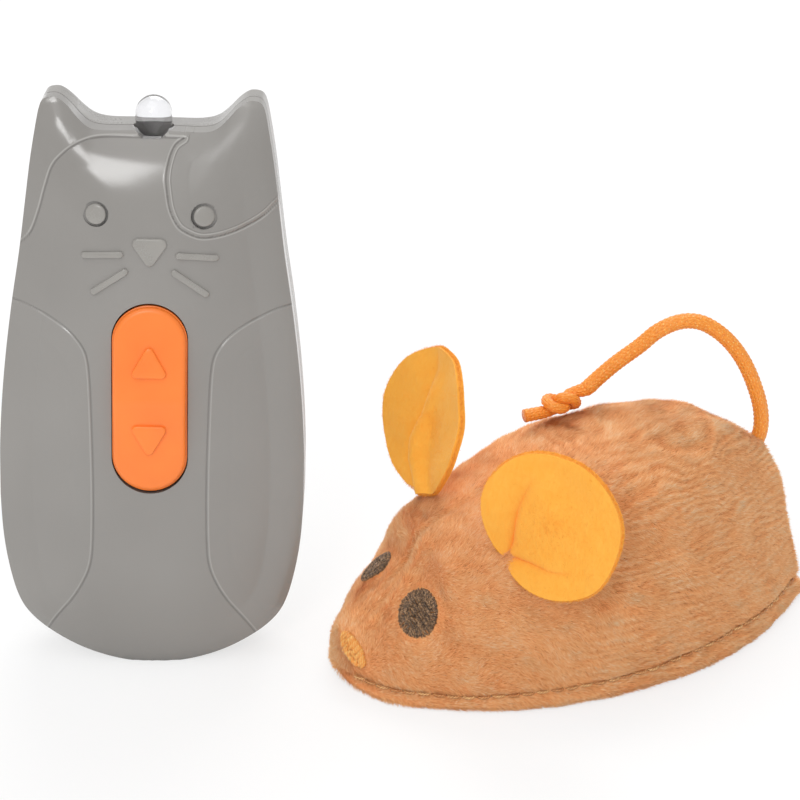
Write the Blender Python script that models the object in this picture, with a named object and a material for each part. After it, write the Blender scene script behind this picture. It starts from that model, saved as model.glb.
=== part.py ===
"""Electronic cat toy: a plush mouse on a motor-driven chassis, and its cat-shaped infrared handset.

Metres, +Z up. The mouse lies along X with its nose towards -X. The handset stands beside it on the
flat foot of its rounded end, leaning back a little and turned to face the same way as the viewer.
"""

import bpy
import bmesh
from math import acos, atan, atan2, cos, pi, radians, sin, sqrt, tan
from mathutils import Matrix, Vector

mm = 0.001

# Air between pieces, and how far a cutter passes the face it opens
gap = 0.3 * mm
running_gap = 0.1 * mm
pin_gap = 0.15 * mm
overrun = 2.0 * mm

# Mouse body
mouse_length = 92.4 * mm
mouse_half_width = 26.5 * mm
mouse_height = 41.3 * mm
hem_clearance = 0.4 * mm
hem_round = 1.0 * mm
chassis_margin = 0.8 * mm

# Mouse chassis
tray_underside = 1.0 * mm
tray_floor = 1.2 * mm
tray_wall = 1.3 * mm
tray_rim_height = 15.0 * mm
tray_front = 16.5 * mm
tray_rear = 74.0 * mm
tray_half_width = 13.2 * mm
shelf_front = 8.0 * mm
shelf_height = 6.5 * mm
shelf_thickness = 1.6 * mm
lid_thickness = 1.2 * mm
hood_front = 40.5 * mm
hood_rear = 69.8 * mm
hood_height = 20.9 * mm
chassis_boss_front = 30.0 * mm
chassis_boss_rear = 46.5 * mm

# Drive
gear_module = 0.4 * mm
pinion_teeth = 10
compound_large_teeth = 30
compound_small_teeth = 10
axle_gear_teeth = 28
tooth_backlash = 0.06 * mm
axle_position = 62.0 * mm
axle_radius = 0.9 * mm
wheel_radius = 8.5 * mm
wheel_width = 3.4 * mm
tyre_thickness = 1.5 * mm
wheel_side_gap = 0.5 * mm
motor_position = 48.0 * mm
motor_height = 12.0 * mm
motor_can_width = 12.0 * mm
motor_can_height = 10.0 * mm
motor_can_length = 12.6 * mm
motor_can_end = 3.0 * mm
gear_face = 2.4 * mm
gear_pin_radius = 0.6 * mm
pinion_stand_off = 2.2 * mm
motor_nose_radius = 2.0 * mm
motor_shaft_radius = 0.5 * mm

# Front caster
caster_position = 12.0 * mm
caster_trail = 1.8 * mm
caster_wheel_radius = 2.4 * mm
caster_wheel_width = 2.4 * mm
caster_pin_radius = 0.6 * mm
caster_stud_radius = 1.0 * mm
caster_disc_thickness = 1.0 * mm
caster_arm_thickness = 0.9 * mm
caster_bore_gap = 0.2 * mm

# Mouse electrics
button_cell_radius = 5.8 * mm
button_cell_length = 5.4 * mm
button_cell_count = 3
mouse_bay_position = 28.0 * mm
mouse_bay_half_width = 10.6 * mm
mouse_door_thickness = 1.3 * mm
door_side_lap = 1.2 * mm
tongue_half_width = 3.0 * mm
tongue_reach = 6.0 * mm
board_thickness = 1.2 * mm
mouse_board_front = 20.5 * mm
mouse_board_rear = 39.5 * mm
mouse_board_half_width = 10.0 * mm
mouse_board_corner = 1.0 * mm
switch_position = 67.8 * mm
switch_offset = -6.5 * mm
switch_travel = 3.0 * mm
switch_knob_half_length = 0.9 * mm
switch_knob_half_width = 0.8 * mm
switch_slot_end_gap = 0.2 * mm

# Felt, thread and cord of the mouse
ear_height = 28.0 * mm
ear_width = 27.0 * mm
ear_thickness = 1.4 * mm
ear_cup = 3.2 * mm
patch_thickness = 0.6 * mm
tail_diameter = 2.8 * mm
knot_radius = 3.2 * mm
knot_length = 7.4 * mm

# Handset case
handset_width = 54.6 * mm
handset_height = 105.2 * mm
eye_drop = 19.4 * mm
nose_drop = 26.3 * mm
upper_whisker_inner_drop = 26.35 * mm
upper_whisker_outer_drop = 26.8 * mm
lower_whisker_inner_drop = 29.4 * mm
lower_whisker_outer_drop = 33.3 * mm
notch_drop = 6.7 * mm
case_front_depth = 10.5 * mm
case_back_depth = 12.5 * mm
case_front_side = 3.0 * mm
case_back_side = 5.0 * mm
case_front_round = 20.0 * mm
case_back_round = 10.0 * mm
case_softness = 3.5 * mm
case_wall = 2.0 * mm
lip_inset = 1.0 * mm
lip_height = 1.0 * mm
foot_cut = 1.2 * mm
handset_lean = radians(9.0)
handset_yaw = radians(-22.3)
handset_roll = radians(1.3)
handset_foot_x = -26.6 * mm
handset_foot_y = 21.8 * mm

# Rocker
rocker_width = 12.9 * mm
rocker_length = 33.9 * mm
rocker_drop = 52.7 * mm
rocker_centre_height = handset_height - rocker_drop
rocker_side_gap = 0.3 * mm
rocker_end_gap = 0.65 * mm
rocker_axis_depth = 7.6 * mm
rocker_back_depth = 6.6 * mm
rocker_end_rise = 0.5 * mm
rocker_crest_rise = 1.9 * mm
rocker_edge = 0.8 * mm
rocker_pin_radius = 1.0 * mm
rocker_pin_length = 2.2 * mm
keypad_margin = 1.5 * mm
keypad_corner = 3.0 * mm

# Handset electrics
cell_radius = 5.2 * mm
cell_length = 44.5 * mm
cell_depth = 5.5 * mm
cell_contact_room = 2.25 * mm
handset_bay_bottom = 19.5 * mm
handset_bay_length = cell_length + 2 * cell_contact_room
handset_bay_half_width = 2 * cell_radius + 3 * gap
handset_bay_wall = 1.3 * mm
handset_bay_front = -0.1 * mm
handset_door_thickness = 1.5 * mm
door_ledge = 2.0 * mm
door_foot_room = 2.0 * mm
door_screw_room = 4.0 * mm
door_screw_rise = 0.6 * mm
door_corner = 3.0 * mm
handset_board_front = -2.9 * mm
handset_board_half_width = 12.0 * mm
handset_board_corner = 1.5 * mm
board_below_rocker = 28.5 * mm
board_below_diode = 3.7 * mm
keypad_thickness = 1.0 * mm
keypad_dome_height = 1.4 * mm
led_radius = 3.25 * mm
led_length = 11.4 * mm
led_flange_thickness = 1.0 * mm
led_seat_rise = 2.0 * mm
led_lead_offset = 1.27 * mm
led_lead_half_width = 0.3 * mm
led_lead_length = 4.0 * mm
led_top = handset_height - running_gap
led_base = led_top - led_length
handset_board_bottom = rocker_centre_height - board_below_rocker
handset_board_top = led_base - board_below_diode
spring_wire = 0.4 * mm

# Screws
case_screw_length = 12.0 * mm
case_screw_radius = 1.1 * mm
chassis_screw_length = 12.0 * mm
chassis_screw_radius = 1.0 * mm
door_screw_radius = 0.9 * mm
door_screw_length = 5.0 * mm
mouse_door_screw_length = 3.2 * mm
screw_head_share = 0.8

# Facets
fine_steps = 20
coarse_steps = 14


# Scene

for old in list(bpy.data.objects):
    bpy.data.objects.remove(old)


def paint(name, colour, roughness, metallic=0.0):
    """A Principled material."""
    material = bpy.data.materials.new(name)
    material.use_nodes = True
    shader = material.node_tree.nodes["Principled BSDF"]
    shader.inputs["Base Color"].default_value = (*colour, 1.0)
    shader.inputs["Roughness"].default_value = roughness
    shader.inputs["Metallic"].default_value = metallic
    material.diffuse_color = (*colour, 1.0)
    return material


grey_abs = paint("grey_abs", (0.33, 0.31, 0.30), 0.35)
orange_abs = paint("orange_abs", (0.99, 0.26, 0.06), 0.35)
tan_plush = paint("tan_plush", (0.75, 0.37, 0.15), 0.95)
orange_felt = paint("orange_felt", (0.98, 0.47, 0.05), 0.9)
brown_thread = paint("brown_thread", (0.107, 0.051, 0.024), 0.6)
gold_thread = paint("gold_thread", (0.80, 0.34, 0.10), 0.45)
orange_cord = paint("orange_cord", (0.84, 0.31, 0.04), 0.45)
black_abs = paint("black_abs", (0.03, 0.03, 0.032), 0.5)
white_acetal = paint("white_acetal", (0.8, 0.79, 0.75), 0.4)
black_rubber = paint("black_rubber", (0.02, 0.02, 0.02), 0.85)
grey_rubber = paint("grey_rubber", (0.25, 0.25, 0.26), 0.8)
clear_epoxy = paint("clear_epoxy", (0.75, 0.78, 0.8), 0.08)
green_board = paint("green_board", (0.03, 0.16, 0.07), 0.5)
bright_steel = paint("bright_steel", (0.62, 0.62, 0.63), 0.25, 1.0)
zinc_screw = paint("zinc_screw", (0.5, 0.5, 0.52), 0.35, 1.0)
cell_jacket = paint("cell_jacket", (0.1, 0.12, 0.16), 0.35)


def frame(name, parent=None, location=(0, 0, 0), rotation=None):
    """An empty that carries pieces."""
    empty = bpy.data.objects.new(name, None)
    bpy.context.scene.collection.objects.link(empty)
    empty.parent = parent
    empty.matrix_local = Matrix.Translation(location) @ (rotation or Matrix()).to_4x4()
    return empty


def add(name, shape, material, parent, location=(0, 0, 0), rotation=None, crease=radians(38)):
    """Turn a bmesh into a named object under its parent."""
    mesh = bpy.data.meshes.new(name)
    bmesh.ops.recalc_face_normals(shape, faces=shape.faces)
    shape.to_mesh(mesh)
    shape.free()
    mesh.materials.append(material)
    mesh.shade_smooth()
    mesh.set_sharp_from_angle(angle=crease)
    item = bpy.data.objects.new(name, mesh)
    bpy.context.scene.collection.objects.link(item)
    item.parent = parent
    item.matrix_local = Matrix.Translation(location) @ (rotation or Matrix()).to_4x4()
    return item


def combine(target, operation, *tools):
    """Add a Boolean for each tool, which stays in the scene as a hidden guide."""
    for tool in tools:
        tool.hide_render = True
        tool.display_type = 'WIRE'
        boolean = target.modifiers.new(tool.name, 'BOOLEAN')
        boolean.operation = operation
        boolean.solver = 'EXACT'
        boolean.object = tool


def cut(target, *tools):
    combine(target, 'DIFFERENCE', *tools)


def weld(target, *tools):
    combine(target, 'UNION', *tools)


# Shape builders

def loft(rings, closed=False, capped=True):
    """Skin a list of rings with equal counts. A ring of one point closes to a tip."""
    shape = bmesh.new()
    loops = [[shape.verts.new(point) for point in ring] for ring in rings]
    pairs = list(zip(loops, loops[1:] + loops[:1]))
    if not closed:
        pairs = pairs[:-1]
    for low, high in pairs:
        count = max(len(low), len(high))
        for i in range(count):
            j = (i + 1) % count
            corners = [low[i % len(low)], low[j % len(low)], high[j % len(high)], high[i % len(high)]]
            corners = list(dict.fromkeys(corners))
            shape.faces.new(corners)
    if capped and not closed:
        for end in (loops[0], loops[-1]):
            if len(end) > 2:
                shape.faces.new(end)
    return shape


def turned(profile, steps, closed=False):
    """Revolve (radius, height) points about Z. A closed profile makes a ring."""
    rings = []
    for radius, height in profile:
        if radius == 0:
            rings.append([Vector((0, 0, height))])
            continue
        turns = [2 * pi * i / steps for i in range(steps)]
        rings.append([Vector((radius * cos(a), radius * sin(a), height)) for a in turns])
    return loft(rings, closed)


def prism(outline, low, high):
    """Extrude an (x, y) outline from one height to another."""
    return loft([[Vector((x, y, z)) for x, y in outline] for z in (low, high)])


def block(low, high):
    """A box between two corners."""
    (x0, y0, z0), (x1, y1, z1) = low, high
    return prism([(x0, y0), (x1, y0), (x1, y1), (x0, y1)], z0, z1)


def circle(radius, steps, centre=(0, 0)):
    turns = [2 * pi * i / steps for i in range(steps)]
    return [(centre[0] + radius * cos(a), centre[1] + radius * sin(a)) for a in turns]


def rounded(corners, radius, steps=4):
    """Round the corners of a convex outline given anticlockwise, tangent to its sides."""
    outline = []
    count = len(corners)
    for i, corner in enumerate(corners):
        here = Vector(corner)
        before = (Vector(corners[i - 1]) - here).normalized()
        after = (Vector(corners[(i + 1) % count]) - here).normalized()
        half = before.angle(after) / 2
        centre = here + (before + after).normalized() * (radius / sin(half))
        start = here + before * (radius / tan(half)) - centre
        sweep = pi - 2 * half
        for k in range(steps + 1):
            arm = start.copy()
            arm.rotate(Matrix.Rotation(sweep * k / steps, 2))
            outline.append(tuple(centre + arm))
    return outline


def rectangle(width, height, centre=(0, 0)):
    """The corners of an upright rectangle, anticlockwise."""
    x, y = centre
    return [(x + sx * width / 2, y + sy * height / 2) for sx, sy in ((-1, -1), (1, -1), (1, 1), (-1, 1))]


def tilted_to_y(outline, low, high):
    """A prism whose outline lies in XZ and whose thickness runs along Y."""
    shape = prism(outline, low, high)
    bmesh.ops.transform(shape, matrix=FRONT_TO_Y, verts=shape.verts)
    return shape


# Turns a shape's Z to +Y and its Y to -Z, or lays a turned piece along Y with its face upright
FRONT_TO_Y = Matrix(((1, 0, 0, 0), (0, 0, 1, 0), (0, 1, 0, 0), (0, 0, 0, 1)))
ALONG_Y = Matrix.Rotation(pi / 2, 3, 'X')


def tube(name, points, diameter, material, parent, sides=2):
    """A cord or wire: a bevelled curve with filled caps."""
    curve = bpy.data.curves.new(name, 'CURVE')
    curve.dimensions = '3D'
    curve.bevel_depth = diameter / 2
    curve.bevel_resolution = sides
    curve.use_fill_caps = True
    spline = curve.splines.new('POLY')
    spline.points.add(len(points) - 1)
    for slot, point in zip(spline.points, points):
        slot.co = (*point, 1.0)
    curve.materials.append(material)
    item = bpy.data.objects.new(name, curve)
    bpy.context.scene.collection.objects.link(item)
    item.parent = parent
    return item


def smooth_run(points, spacing):
    """Points at even steps along a Catmull-Rom curve through the given points."""
    points = [Vector(p) for p in points]
    ends = [points[0] * 2 - points[1]] + points + [points[-1] * 2 - points[-2]]
    fine = []
    substeps = 12
    for i in range(1, len(ends) - 2):
        a, b, c, d = ends[i - 1:i + 3]
        for k in range(substeps):
            t = k / substeps
            fine.append(0.5 * (2 * b + (c - a) * t + (2 * a - 5 * b + 4 * c - d) * t * t
                               + (3 * b - a - 3 * c + d) * t ** 3))
    fine.append(ends[-2])
    reach = [0.0]
    for p, q in zip(fine, fine[1:]):
        reach.append(reach[-1] + (q - p).length)
    count = max(2, round(reach[-1] / spacing))
    run = []
    j = 0
    for i in range(count + 1):
        want = reach[-1] * i / count
        while j < len(fine) - 2 and reach[j + 1] < want:
            j += 1
        share = (want - reach[j]) / (reach[j + 1] - reach[j])
        run.append(fine[j].lerp(fine[j + 1], min(1.0, share)))
    return run


def screw(name, radius, length, parent, location, rotation):
    """A pan-head screw with a cross recess. Its head's underside is at its origin."""
    head_radius = radius * 1.8
    head_height = radius * screw_head_share
    tip = radius * 0.9
    profile = [(0, -length), (radius, -length + tip), (radius, 0), (head_radius, 0),
               (head_radius, head_height * 0.6), (head_radius * 0.7, head_height), (0, head_height)]
    item = add(name, turned(profile, 10), zinc_screw, parent, location, rotation)
    arm = head_radius * 0.62
    half = head_radius * 0.13
    cross = [(arm, -half), (arm, half), (half, half), (half, arm), (-half, arm), (-half, half),
             (-arm, half), (-arm, -half), (-half, -half), (-half, -arm), (half, -arm), (half, -half)]
    recess = add(name + "_recess", prism(cross, head_height * 0.35, head_height + overrun), zinc_screw,
                 parent, location, rotation)
    cut(item, recess)
    return item


def spiral_spring(name, start_radius, end_radius, height, wire, parent, location, rotation):
    """A conical contact spring of two loops, nearly flat as it is when the cell is in."""
    loops = 2
    points_per_loop = 9
    steps = loops * points_per_loop
    points = []
    for i in range(steps + 1):
        share = i / steps
        radius = start_radius + (end_radius - start_radius) * share
        turn = 2 * pi * loops * share
        rise = wire / 2 + (height - wire) * share
        points.append(Matrix.Translation(location).to_4x4() @ rotation.to_4x4()
                      @ Vector((radius * cos(turn), radius * sin(turn), rise)))
    return tube(name, points, wire, bright_steel, parent, 0)


# Frames

set_frame = frame("set_frame")
mouse_frame = frame("mouse_frame", set_frame)
handset_turn = (Matrix.Rotation(handset_yaw, 3, 'Z') @ Matrix.Rotation(-handset_lean, 3, 'X')
                @ Matrix.Rotation(handset_roll, 3, 'Y'))
handset_frame = frame("handset_frame", set_frame, (handset_foot_x, handset_foot_y, 0),
                      handset_turn)


# Plush body of the mouse

# For each station: its share of the length, and the half width, height and backward lean of its
# section as shares of the body's half width, height and length
body_section_shares = [
    (0.00, 0.14, 0.21, 0.000), (0.04, 0.44, 0.34, 0.030), (0.12, 0.64, 0.48, 0.021),
    (0.25, 0.85, 0.68, -0.045), (0.40, 1.00, 0.82, -0.045), (0.55, 0.99, 0.945, -0.061),
    (0.70, 0.90, 1.00, -0.071), (0.83, 0.71, 0.985, -0.090), (0.93, 0.46, 0.92, -0.092),
    (1.00, 0.26, 0.795, -0.077)]
snout_share = 0.45
snout_side_power, body_side_power = 1.02, 0.73
snout_top_power, body_top_power = 0.90, 0.84


def read_shares(table, at, column):
    """A value of a table of shares between its rows, on a monotone cubic."""
    xs = [row[0] for row in table]
    ys = [row[column] for row in table]
    slopes = [(ys[i + 1] - ys[i]) / (xs[i + 1] - xs[i]) for i in range(len(xs) - 1)]
    tangents = [slopes[0]]
    for a, b in zip(slopes, slopes[1:]):
        tangents.append(0.0 if a * b <= 0 else 2 * a * b / (a + b))
    tangents.append(slopes[-1])
    i = 0
    while i < len(xs) - 2 and at > xs[i + 1]:
        i += 1
    width = xs[i + 1] - xs[i]
    t = (at - xs[i]) / width
    return (ys[i] * (1 + 2 * t) * (1 - t) ** 2 + tangents[i] * width * t * (1 - t) ** 2
            + ys[i + 1] * t * t * (3 - 2 * t) - tangents[i + 1] * width * t * t * (1 - t))


def body_point(station, turn, grow=0.0):
    """A point of the body's skin. Turn runs from 0 at the near hem over the back to pi."""
    half_width = mouse_half_width * read_shares(body_section_shares, station, 1) + grow
    height = (mouse_height - hem_clearance) * read_shares(body_section_shares, station, 2) + grow
    lean = mouse_length * read_shares(body_section_shares, station, 3)
    blend = min(1.0, station / snout_share)
    side_power = snout_side_power + (body_side_power - snout_side_power) * blend
    top_power = snout_top_power + (body_top_power - snout_top_power) * blend
    across = cos(turn)
    rise = max(0.0, sin(turn)) ** top_power
    y = -half_width * abs(across) ** side_power * (1 if across > 0 else -1)
    stretch = grow * (2 * station - 1)
    return Vector((mouse_length * station + lean * rise + stretch, y, hem_clearance + height * rise))


def body_skin(grow, stations, turns, drop=0.0):
    """The closed body: sections lofted nose to tail, with a rounded hem."""
    rings = []
    for i in range(stations + 1):
        station = 0.5 - 0.5 * cos(pi * i / stations)
        ring = []
        for k in range(turns + 1):
            turn = pi * k / turns
            ring.append(body_point(station, turn, grow))
        tuck = min(hem_round, abs(ring[0].y) * 0.5)
        for end, side in ((0, -1), (-1, 1)):
            ring[end] = ring[end] + Vector((0, 0, tuck))
        inner = [Vector((ring[-1].x, ring[-1].y - tuck, hem_clearance - drop)),
                 Vector((ring[0].x, ring[0].y + tuck, hem_clearance - drop))]
        rings.append(ring + inner)
    return loft(rings)


def chassis_outline(front_half, margin):
    """Half-width outline of the tray, grown by a margin."""
    half = tray_half_width
    rear = tray_half_width * 0.76
    front, back = tray_front - margin, tray_rear + margin
    shoulder = tray_front + (half - front_half)
    heel = tray_rear - (half - rear)
    side = [(front, -front_half - margin), (shoulder, -half - margin), (heel, -half - margin),
            (back, -rear - margin)]
    return side + [(x, -y) for x, y in reversed(side)]


def shelf_outline(margin):
    """The caster shelf in front of the tray, narrowing towards the snout."""
    nose_half = tray_half_width * 0.36
    root_half = tray_half_width * 0.72
    low = shelf_front - margin
    side = [(low, -nose_half - margin), (tray_front + tray_wall, -root_half - margin)]
    return side + [(x, -y) for x, y in reversed(side)]


tray_front_half = tray_half_width * 0.76
wheel_inner = tray_half_width + wheel_side_gap
wheel_outer = wheel_inner + wheel_width
stud_top = shelf_height + shelf_thickness + gap + 1.2 * caster_stud_radius
board_low = tray_rim_height + gap + lid_thickness + gap
board_high = board_low + board_thickness
receiver_height = board_thickness * 4.6
receiver_length = button_cell_length * 1.3


def build_plush_body():
    skin = body_skin(0.0, 20, 22)
    body = add("plush_body", skin, tan_plush, mouse_frame, crease=radians(60))
    clear = chassis_margin
    low = -overrun
    nose_room = prism(shelf_outline(clear), low, stud_top + clear)
    tray_room = prism(chassis_outline(tray_front_half, clear), low, tray_rim_height + lid_thickness
                      + gap + clear)
    wheel_reach = wheel_radius + clear
    arch = [(wheel_reach * cos(pi * k / 12), wheel_reach * sin(pi * k / 12)) for k in range(13)]
    arch = arch + [(-wheel_reach, -2 * wheel_radius), (wheel_reach, -2 * wheel_radius)]
    wheel_room = tilted_to_y(arch, -wheel_outer - clear, wheel_outer + clear)
    bmesh.ops.translate(wheel_room, vec=(axle_position, 0, wheel_radius), verts=wheel_room.verts)
    hood_room = block((hood_front - clear, -tray_half_width - clear, wheel_radius),
                      (tray_rear - tray_half_width * 0.2, tray_half_width + clear, hood_height + clear))
    board_room = block((mouse_board_front - clear, -mouse_board_half_width - clear, wheel_radius),
                       (hood_front, mouse_board_half_width + clear, board_high + 2 * clear))
    receiver_room = block((mouse_board_rear - receiver_length - 2 * clear, -receiver_length, board_low),
                          (hood_front, receiver_length, board_high + receiver_height + clear))
    boss_rooms = merged(boss_shapes(low, board_low + boss_rise + clear, boss_radius + clear, coarse_steps))
    root, leave = tail_points[0], tail_points[2]
    socket = prism(circle(tail_diameter / 2 + gap, 12), -gap, (leave - root).length + tail_diameter)
    along = Vector((0, 0, 1)).rotation_difference(leave - root).to_matrix().to_4x4()
    bmesh.ops.transform(socket, matrix=Matrix.Translation(root) @ along, verts=socket.verts)
    rooms = {"boss_rooms": boss_rooms, "tail_socket": socket, "nose_room": nose_room, "tray_room": tray_room, "wheel_room": wheel_room,
             "hood_room": hood_room, "board_room": board_room, "receiver_room": receiver_room}
    for name, shape in rooms.items():
        cut(body, add(name, shape, tan_plush, mouse_frame))
    return body


def skin_patch(name, station, turn, half_length, half_width, material, tilt=0.0):
    """An oval of thread that follows the skin: two offset layers joined at their rim."""
    centre = body_point(station, turn)
    step = 0.004
    along = (body_point(station + step, turn) - centre).normalized()
    around = (body_point(station, turn + step) - centre).normalized()
    normal = along.cross(around).normalized()
    if normal.dot(centre - Vector((mouse_length / 2, 0, mouse_height / 4))) < 0:
        normal = -normal
    up = (Vector((0, 0, 1)) - normal * normal.z).normalized()
    side = up.cross(normal)
    spins = coarse_steps
    levels = (1.0, 0.55)

    def on_skin(x, y, height):
        """Drop a point of the patch's plane to the skin by a few secant steps."""
        lean_x = x * cos(tilt) - y * sin(tilt)
        lean_y = x * sin(tilt) + y * cos(tilt)
        goal = centre + side * lean_x + up * lean_y
        s, t = station, turn
        for _ in range(12):
            here = body_point(s, t)
            ds = (body_point(s + step, t) - here) / step
            dt = (body_point(s, t + step) - here) / step
            away = goal - here
            away = away - normal * away.dot(normal)
            a, b, c = ds.dot(ds), ds.dot(dt), dt.dot(dt)
            p, q = away.dot(ds), away.dot(dt)
            det = a * c - b * b
            s = min(0.999, max(0.001, s + 0.7 * (p * c - q * b) / det))
            t = min(pi - 0.02, max(0.02, t + 0.7 * (q * a - p * b) / det))
        here = body_point(s, t)
        ds = body_point(s + step, t) - here
        dt = body_point(s, t + step) - here
        out = ds.cross(dt).normalized()
        if out.dot(normal) < 0:
            out = -out
        return here + out * height

    rings = []
    low, high = gap, gap + patch_thickness
    rings.append([on_skin(0, 0, low)])
    for height, shares in ((low, reversed(levels)), (high, levels)):
        for share in shares:
            ring = []
            for k in range(spins):
                a = 2 * pi * k / spins
                ring.append(on_skin(half_width * share * cos(a), half_length * share * sin(a), height))
            rings.append(ring)
    rings.append([on_skin(0, 0, high)])
    return add(name, loft(rings), material, mouse_frame, crease=radians(50))


def build_thread_patches():
    eye_half_height, eye_half_width = 4.4 * mm, 3.7 * mm
    eye_station, eye_turn_share = 0.124, 0.298
    nose_half_height, nose_half_width = 3.2 * mm, 1.7 * mm
    nose_station, nose_turn_share = 0.020, 0.27
    skin_patch("eye_near", eye_station, pi * eye_turn_share, eye_half_height, eye_half_width, brown_thread)
    skin_patch("eye_far", eye_station, pi * (1 - eye_turn_share), eye_half_height, eye_half_width,
               brown_thread)
    skin_patch("nose_patch", nose_station, pi * nose_turn_share, nose_half_height, nose_half_width,
               gold_thread)


# Felt ears

def build_ear(name, base, up, face, skin_tool):
    """A cupped felt disc sewn in by its pinched lower edge. It faces along local -Y."""
    rows = 5
    spins = 18
    layers = []
    for side in (-1, 1):
        layer = []
        for r in range(rows, 0, -1):
            ring = []
            for k in range(spins):
                a = 2 * pi * k / spins
                x = ear_width / 2 * (r / rows) * sin(a)
                z = ear_height / 2 * (1 - (r / rows) * cos(a))
                height_share = z / ear_height
                pinch = 0.42 + 0.58 * min(1.0, height_share / 0.45) ** 0.6
                x *= pinch
                spread = abs(2 * x / ear_width)
                y = -ear_cup * spread ** 1.6 * (1.6 - height_share)
                y += side * ear_thickness / 2
                ring.append(Vector((x, y, z)))
            layer.append(ring)
        layer.append([Vector((0, side * ear_thickness / 2, ear_height / 2))])
        layers.append(layer)
    rings = list(reversed(layers[0])) + layers[1]
    up = Vector(up).normalized()
    face = Vector(face)
    back = -(face - up * face.dot(up)).normalized()
    side = back.cross(up)
    turn = Matrix((side, back, up)).transposed()
    ear = add(name, loft(rings), orange_felt, mouse_frame, base, turn, radians(60))
    cut(ear, skin_tool)
    return ear


def build_ears():
    sink = 1.6 * mm
    skin_tool = add("skin_tool", body_skin(gap, 20, 22, gap), tan_plush, mouse_frame)
    near_station, near_turn = 0.33, 0.325
    far_station, far_turn = 0.32, 0.60
    near_up, near_face = (0.496, -0.572, 0.65), (-0.795, -0.60, 0.08)
    far_up, far_face = (0.03, 0.50, 0.86), (-0.97, -0.24, 0.05)
    for name, station, turn, up, face in (("ear_near", near_station, near_turn, near_up, near_face),
                                          ("ear_far", far_station, far_turn, far_up, far_face)):
        base = body_point(station, pi * turn) - Vector(up).normalized() * sink
        build_ear(name, base, up, face, skin_tool)


# Tail: a braided cord from the rear seam, arched over the back to an overhand knot

tail_points = [Vector(p) * mm for p in (
    (82.6, 0.0, 27.4), (84.3, 0.0, 29.9), (85.9, 0.2, 33.0), (86.2, 0.6, 36.6), (85.3, 1.1, 41.0),
    (83.3, 2.0, 46.4), (80.9, 3.0, 50.5),
    (78.0, 4.0, 53.6), (74.7, 5.0, 55.6), (71.1, 6.0, 55.8), (67.4, 7.0, 54.2), (64.2, 8.0, 51.3),
    (60.1, 9.0, 48.4), (57.4, 9.5, 46.3), (55.1, 9.8, 44.4))]
knot_place = Vector((50.4, 10.0, 42.9)) * mm
knot_end = Vector((42.6, 10.4, 41.4)) * mm


def build_tail():
    run = smooth_run(tail_points, 2.1 * tail_diameter)
    tube("tail_cord", run, tail_diameter, orange_cord, mouse_frame)
    along = (knot_end - knot_place).normalized()
    turn = Vector((0, 0, 1)).rotation_difference(along).to_matrix()
    half = knot_length / 2
    cord = tail_diameter / 2
    waist = knot_radius * 0.82
    stub = (knot_end - knot_place).length
    profile = [(0, -half), (cord * 1.2, -half), (knot_radius * 0.86, -half * 0.66), (knot_radius, -half * 0.3),
               (waist, 0), (knot_radius, half * 0.35), (knot_radius * 0.8, half * 0.7), (cord, half),
               (cord, stub), (cord * 0.55, stub), (cord * 0.5, stub - cord), (0, stub - cord)]
    add("tail_knot", turned(profile, 14), orange_cord, mouse_frame, knot_place, turn, radians(50))


# Chassis tray: floor, walls, battery bay, caster shelf, screw bosses and bearings

compound_distance = gear_module * (compound_small_teeth + axle_gear_teeth) / 2
pinion_distance = gear_module * (pinion_teeth + compound_large_teeth) / 2


def compound_place():
    """Where the compound gear meshes with both the axle gear and the pinion, above their line."""
    reach = Vector((motor_position - axle_position, motor_height - wheel_radius))
    span = reach.length
    along = (compound_distance ** 2 - pinion_distance ** 2 + span ** 2) / (2 * span)
    above = sqrt(compound_distance ** 2 - along ** 2)
    ahead = reach.normalized()
    upward = Vector((-ahead.y, ahead.x))
    if upward.y < 0:
        upward = -upward
    spot = Vector((axle_position, wheel_radius)) + ahead * along + upward * above
    return spot.x, spot.y


compound_x, compound_z = compound_place()
pinion_low = motor_can_end + pinion_stand_off
large_low = pinion_low + gap
small_low = large_low + gear_face
small_high = small_low + gear_face + gap
axle_gear_low = small_low + gap
boss_radius = chassis_screw_radius * 2.4
boss_rise = 1.0 * mm
boss_offset = tray_half_width + boss_radius * 0.6
boss_places = [(x, side * boss_offset) for x in (chassis_boss_front, chassis_boss_rear) for side in (-1, 1)]
bay_half_length = button_cell_radius + gap
bay_centre_height = tray_underside + mouse_door_thickness + gap + button_cell_radius
door_half_length = bay_half_length + tray_wall - gap
door_half_width = mouse_bay_half_width + door_side_lap
door_screw_position = mouse_bay_position + door_half_length + tongue_reach * 0.5


def boss_shapes(low, high, radius, sides):
    return [prism(circle(radius, sides, spot), low, high) for spot in boss_places]


def merged(shapes):
    """Put separate shapes in one bmesh, as the islands of one tool."""
    whole = bmesh.new()
    for shape in shapes:
        mesh = bpy.data.meshes.new("island")
        bmesh.ops.recalc_face_normals(shape, faces=shape.faces)
        shape.to_mesh(mesh)
        shape.free()
        whole.from_mesh(mesh)
        bpy.data.meshes.remove(mesh)
    return whole


def mouse_door_outline(margin):
    """The door's outline with its screw tongue at the rear, grown by a margin."""
    front = mouse_bay_position - door_half_length - margin
    rear = mouse_bay_position + door_half_length + margin
    side, tongue = door_half_width + margin, tongue_half_width + margin
    tip = mouse_bay_position + door_half_length + tongue_reach + margin
    clip = tongue_half_width / 2
    near = [(front + clip, -side), (rear, -side), (rear, -tongue), (tip - clip, -tongue), (tip, -tongue + clip)]
    return [(front, side - clip), (front, -side + clip)] + near + [(x, -y) for x, y in reversed(near)]


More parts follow.
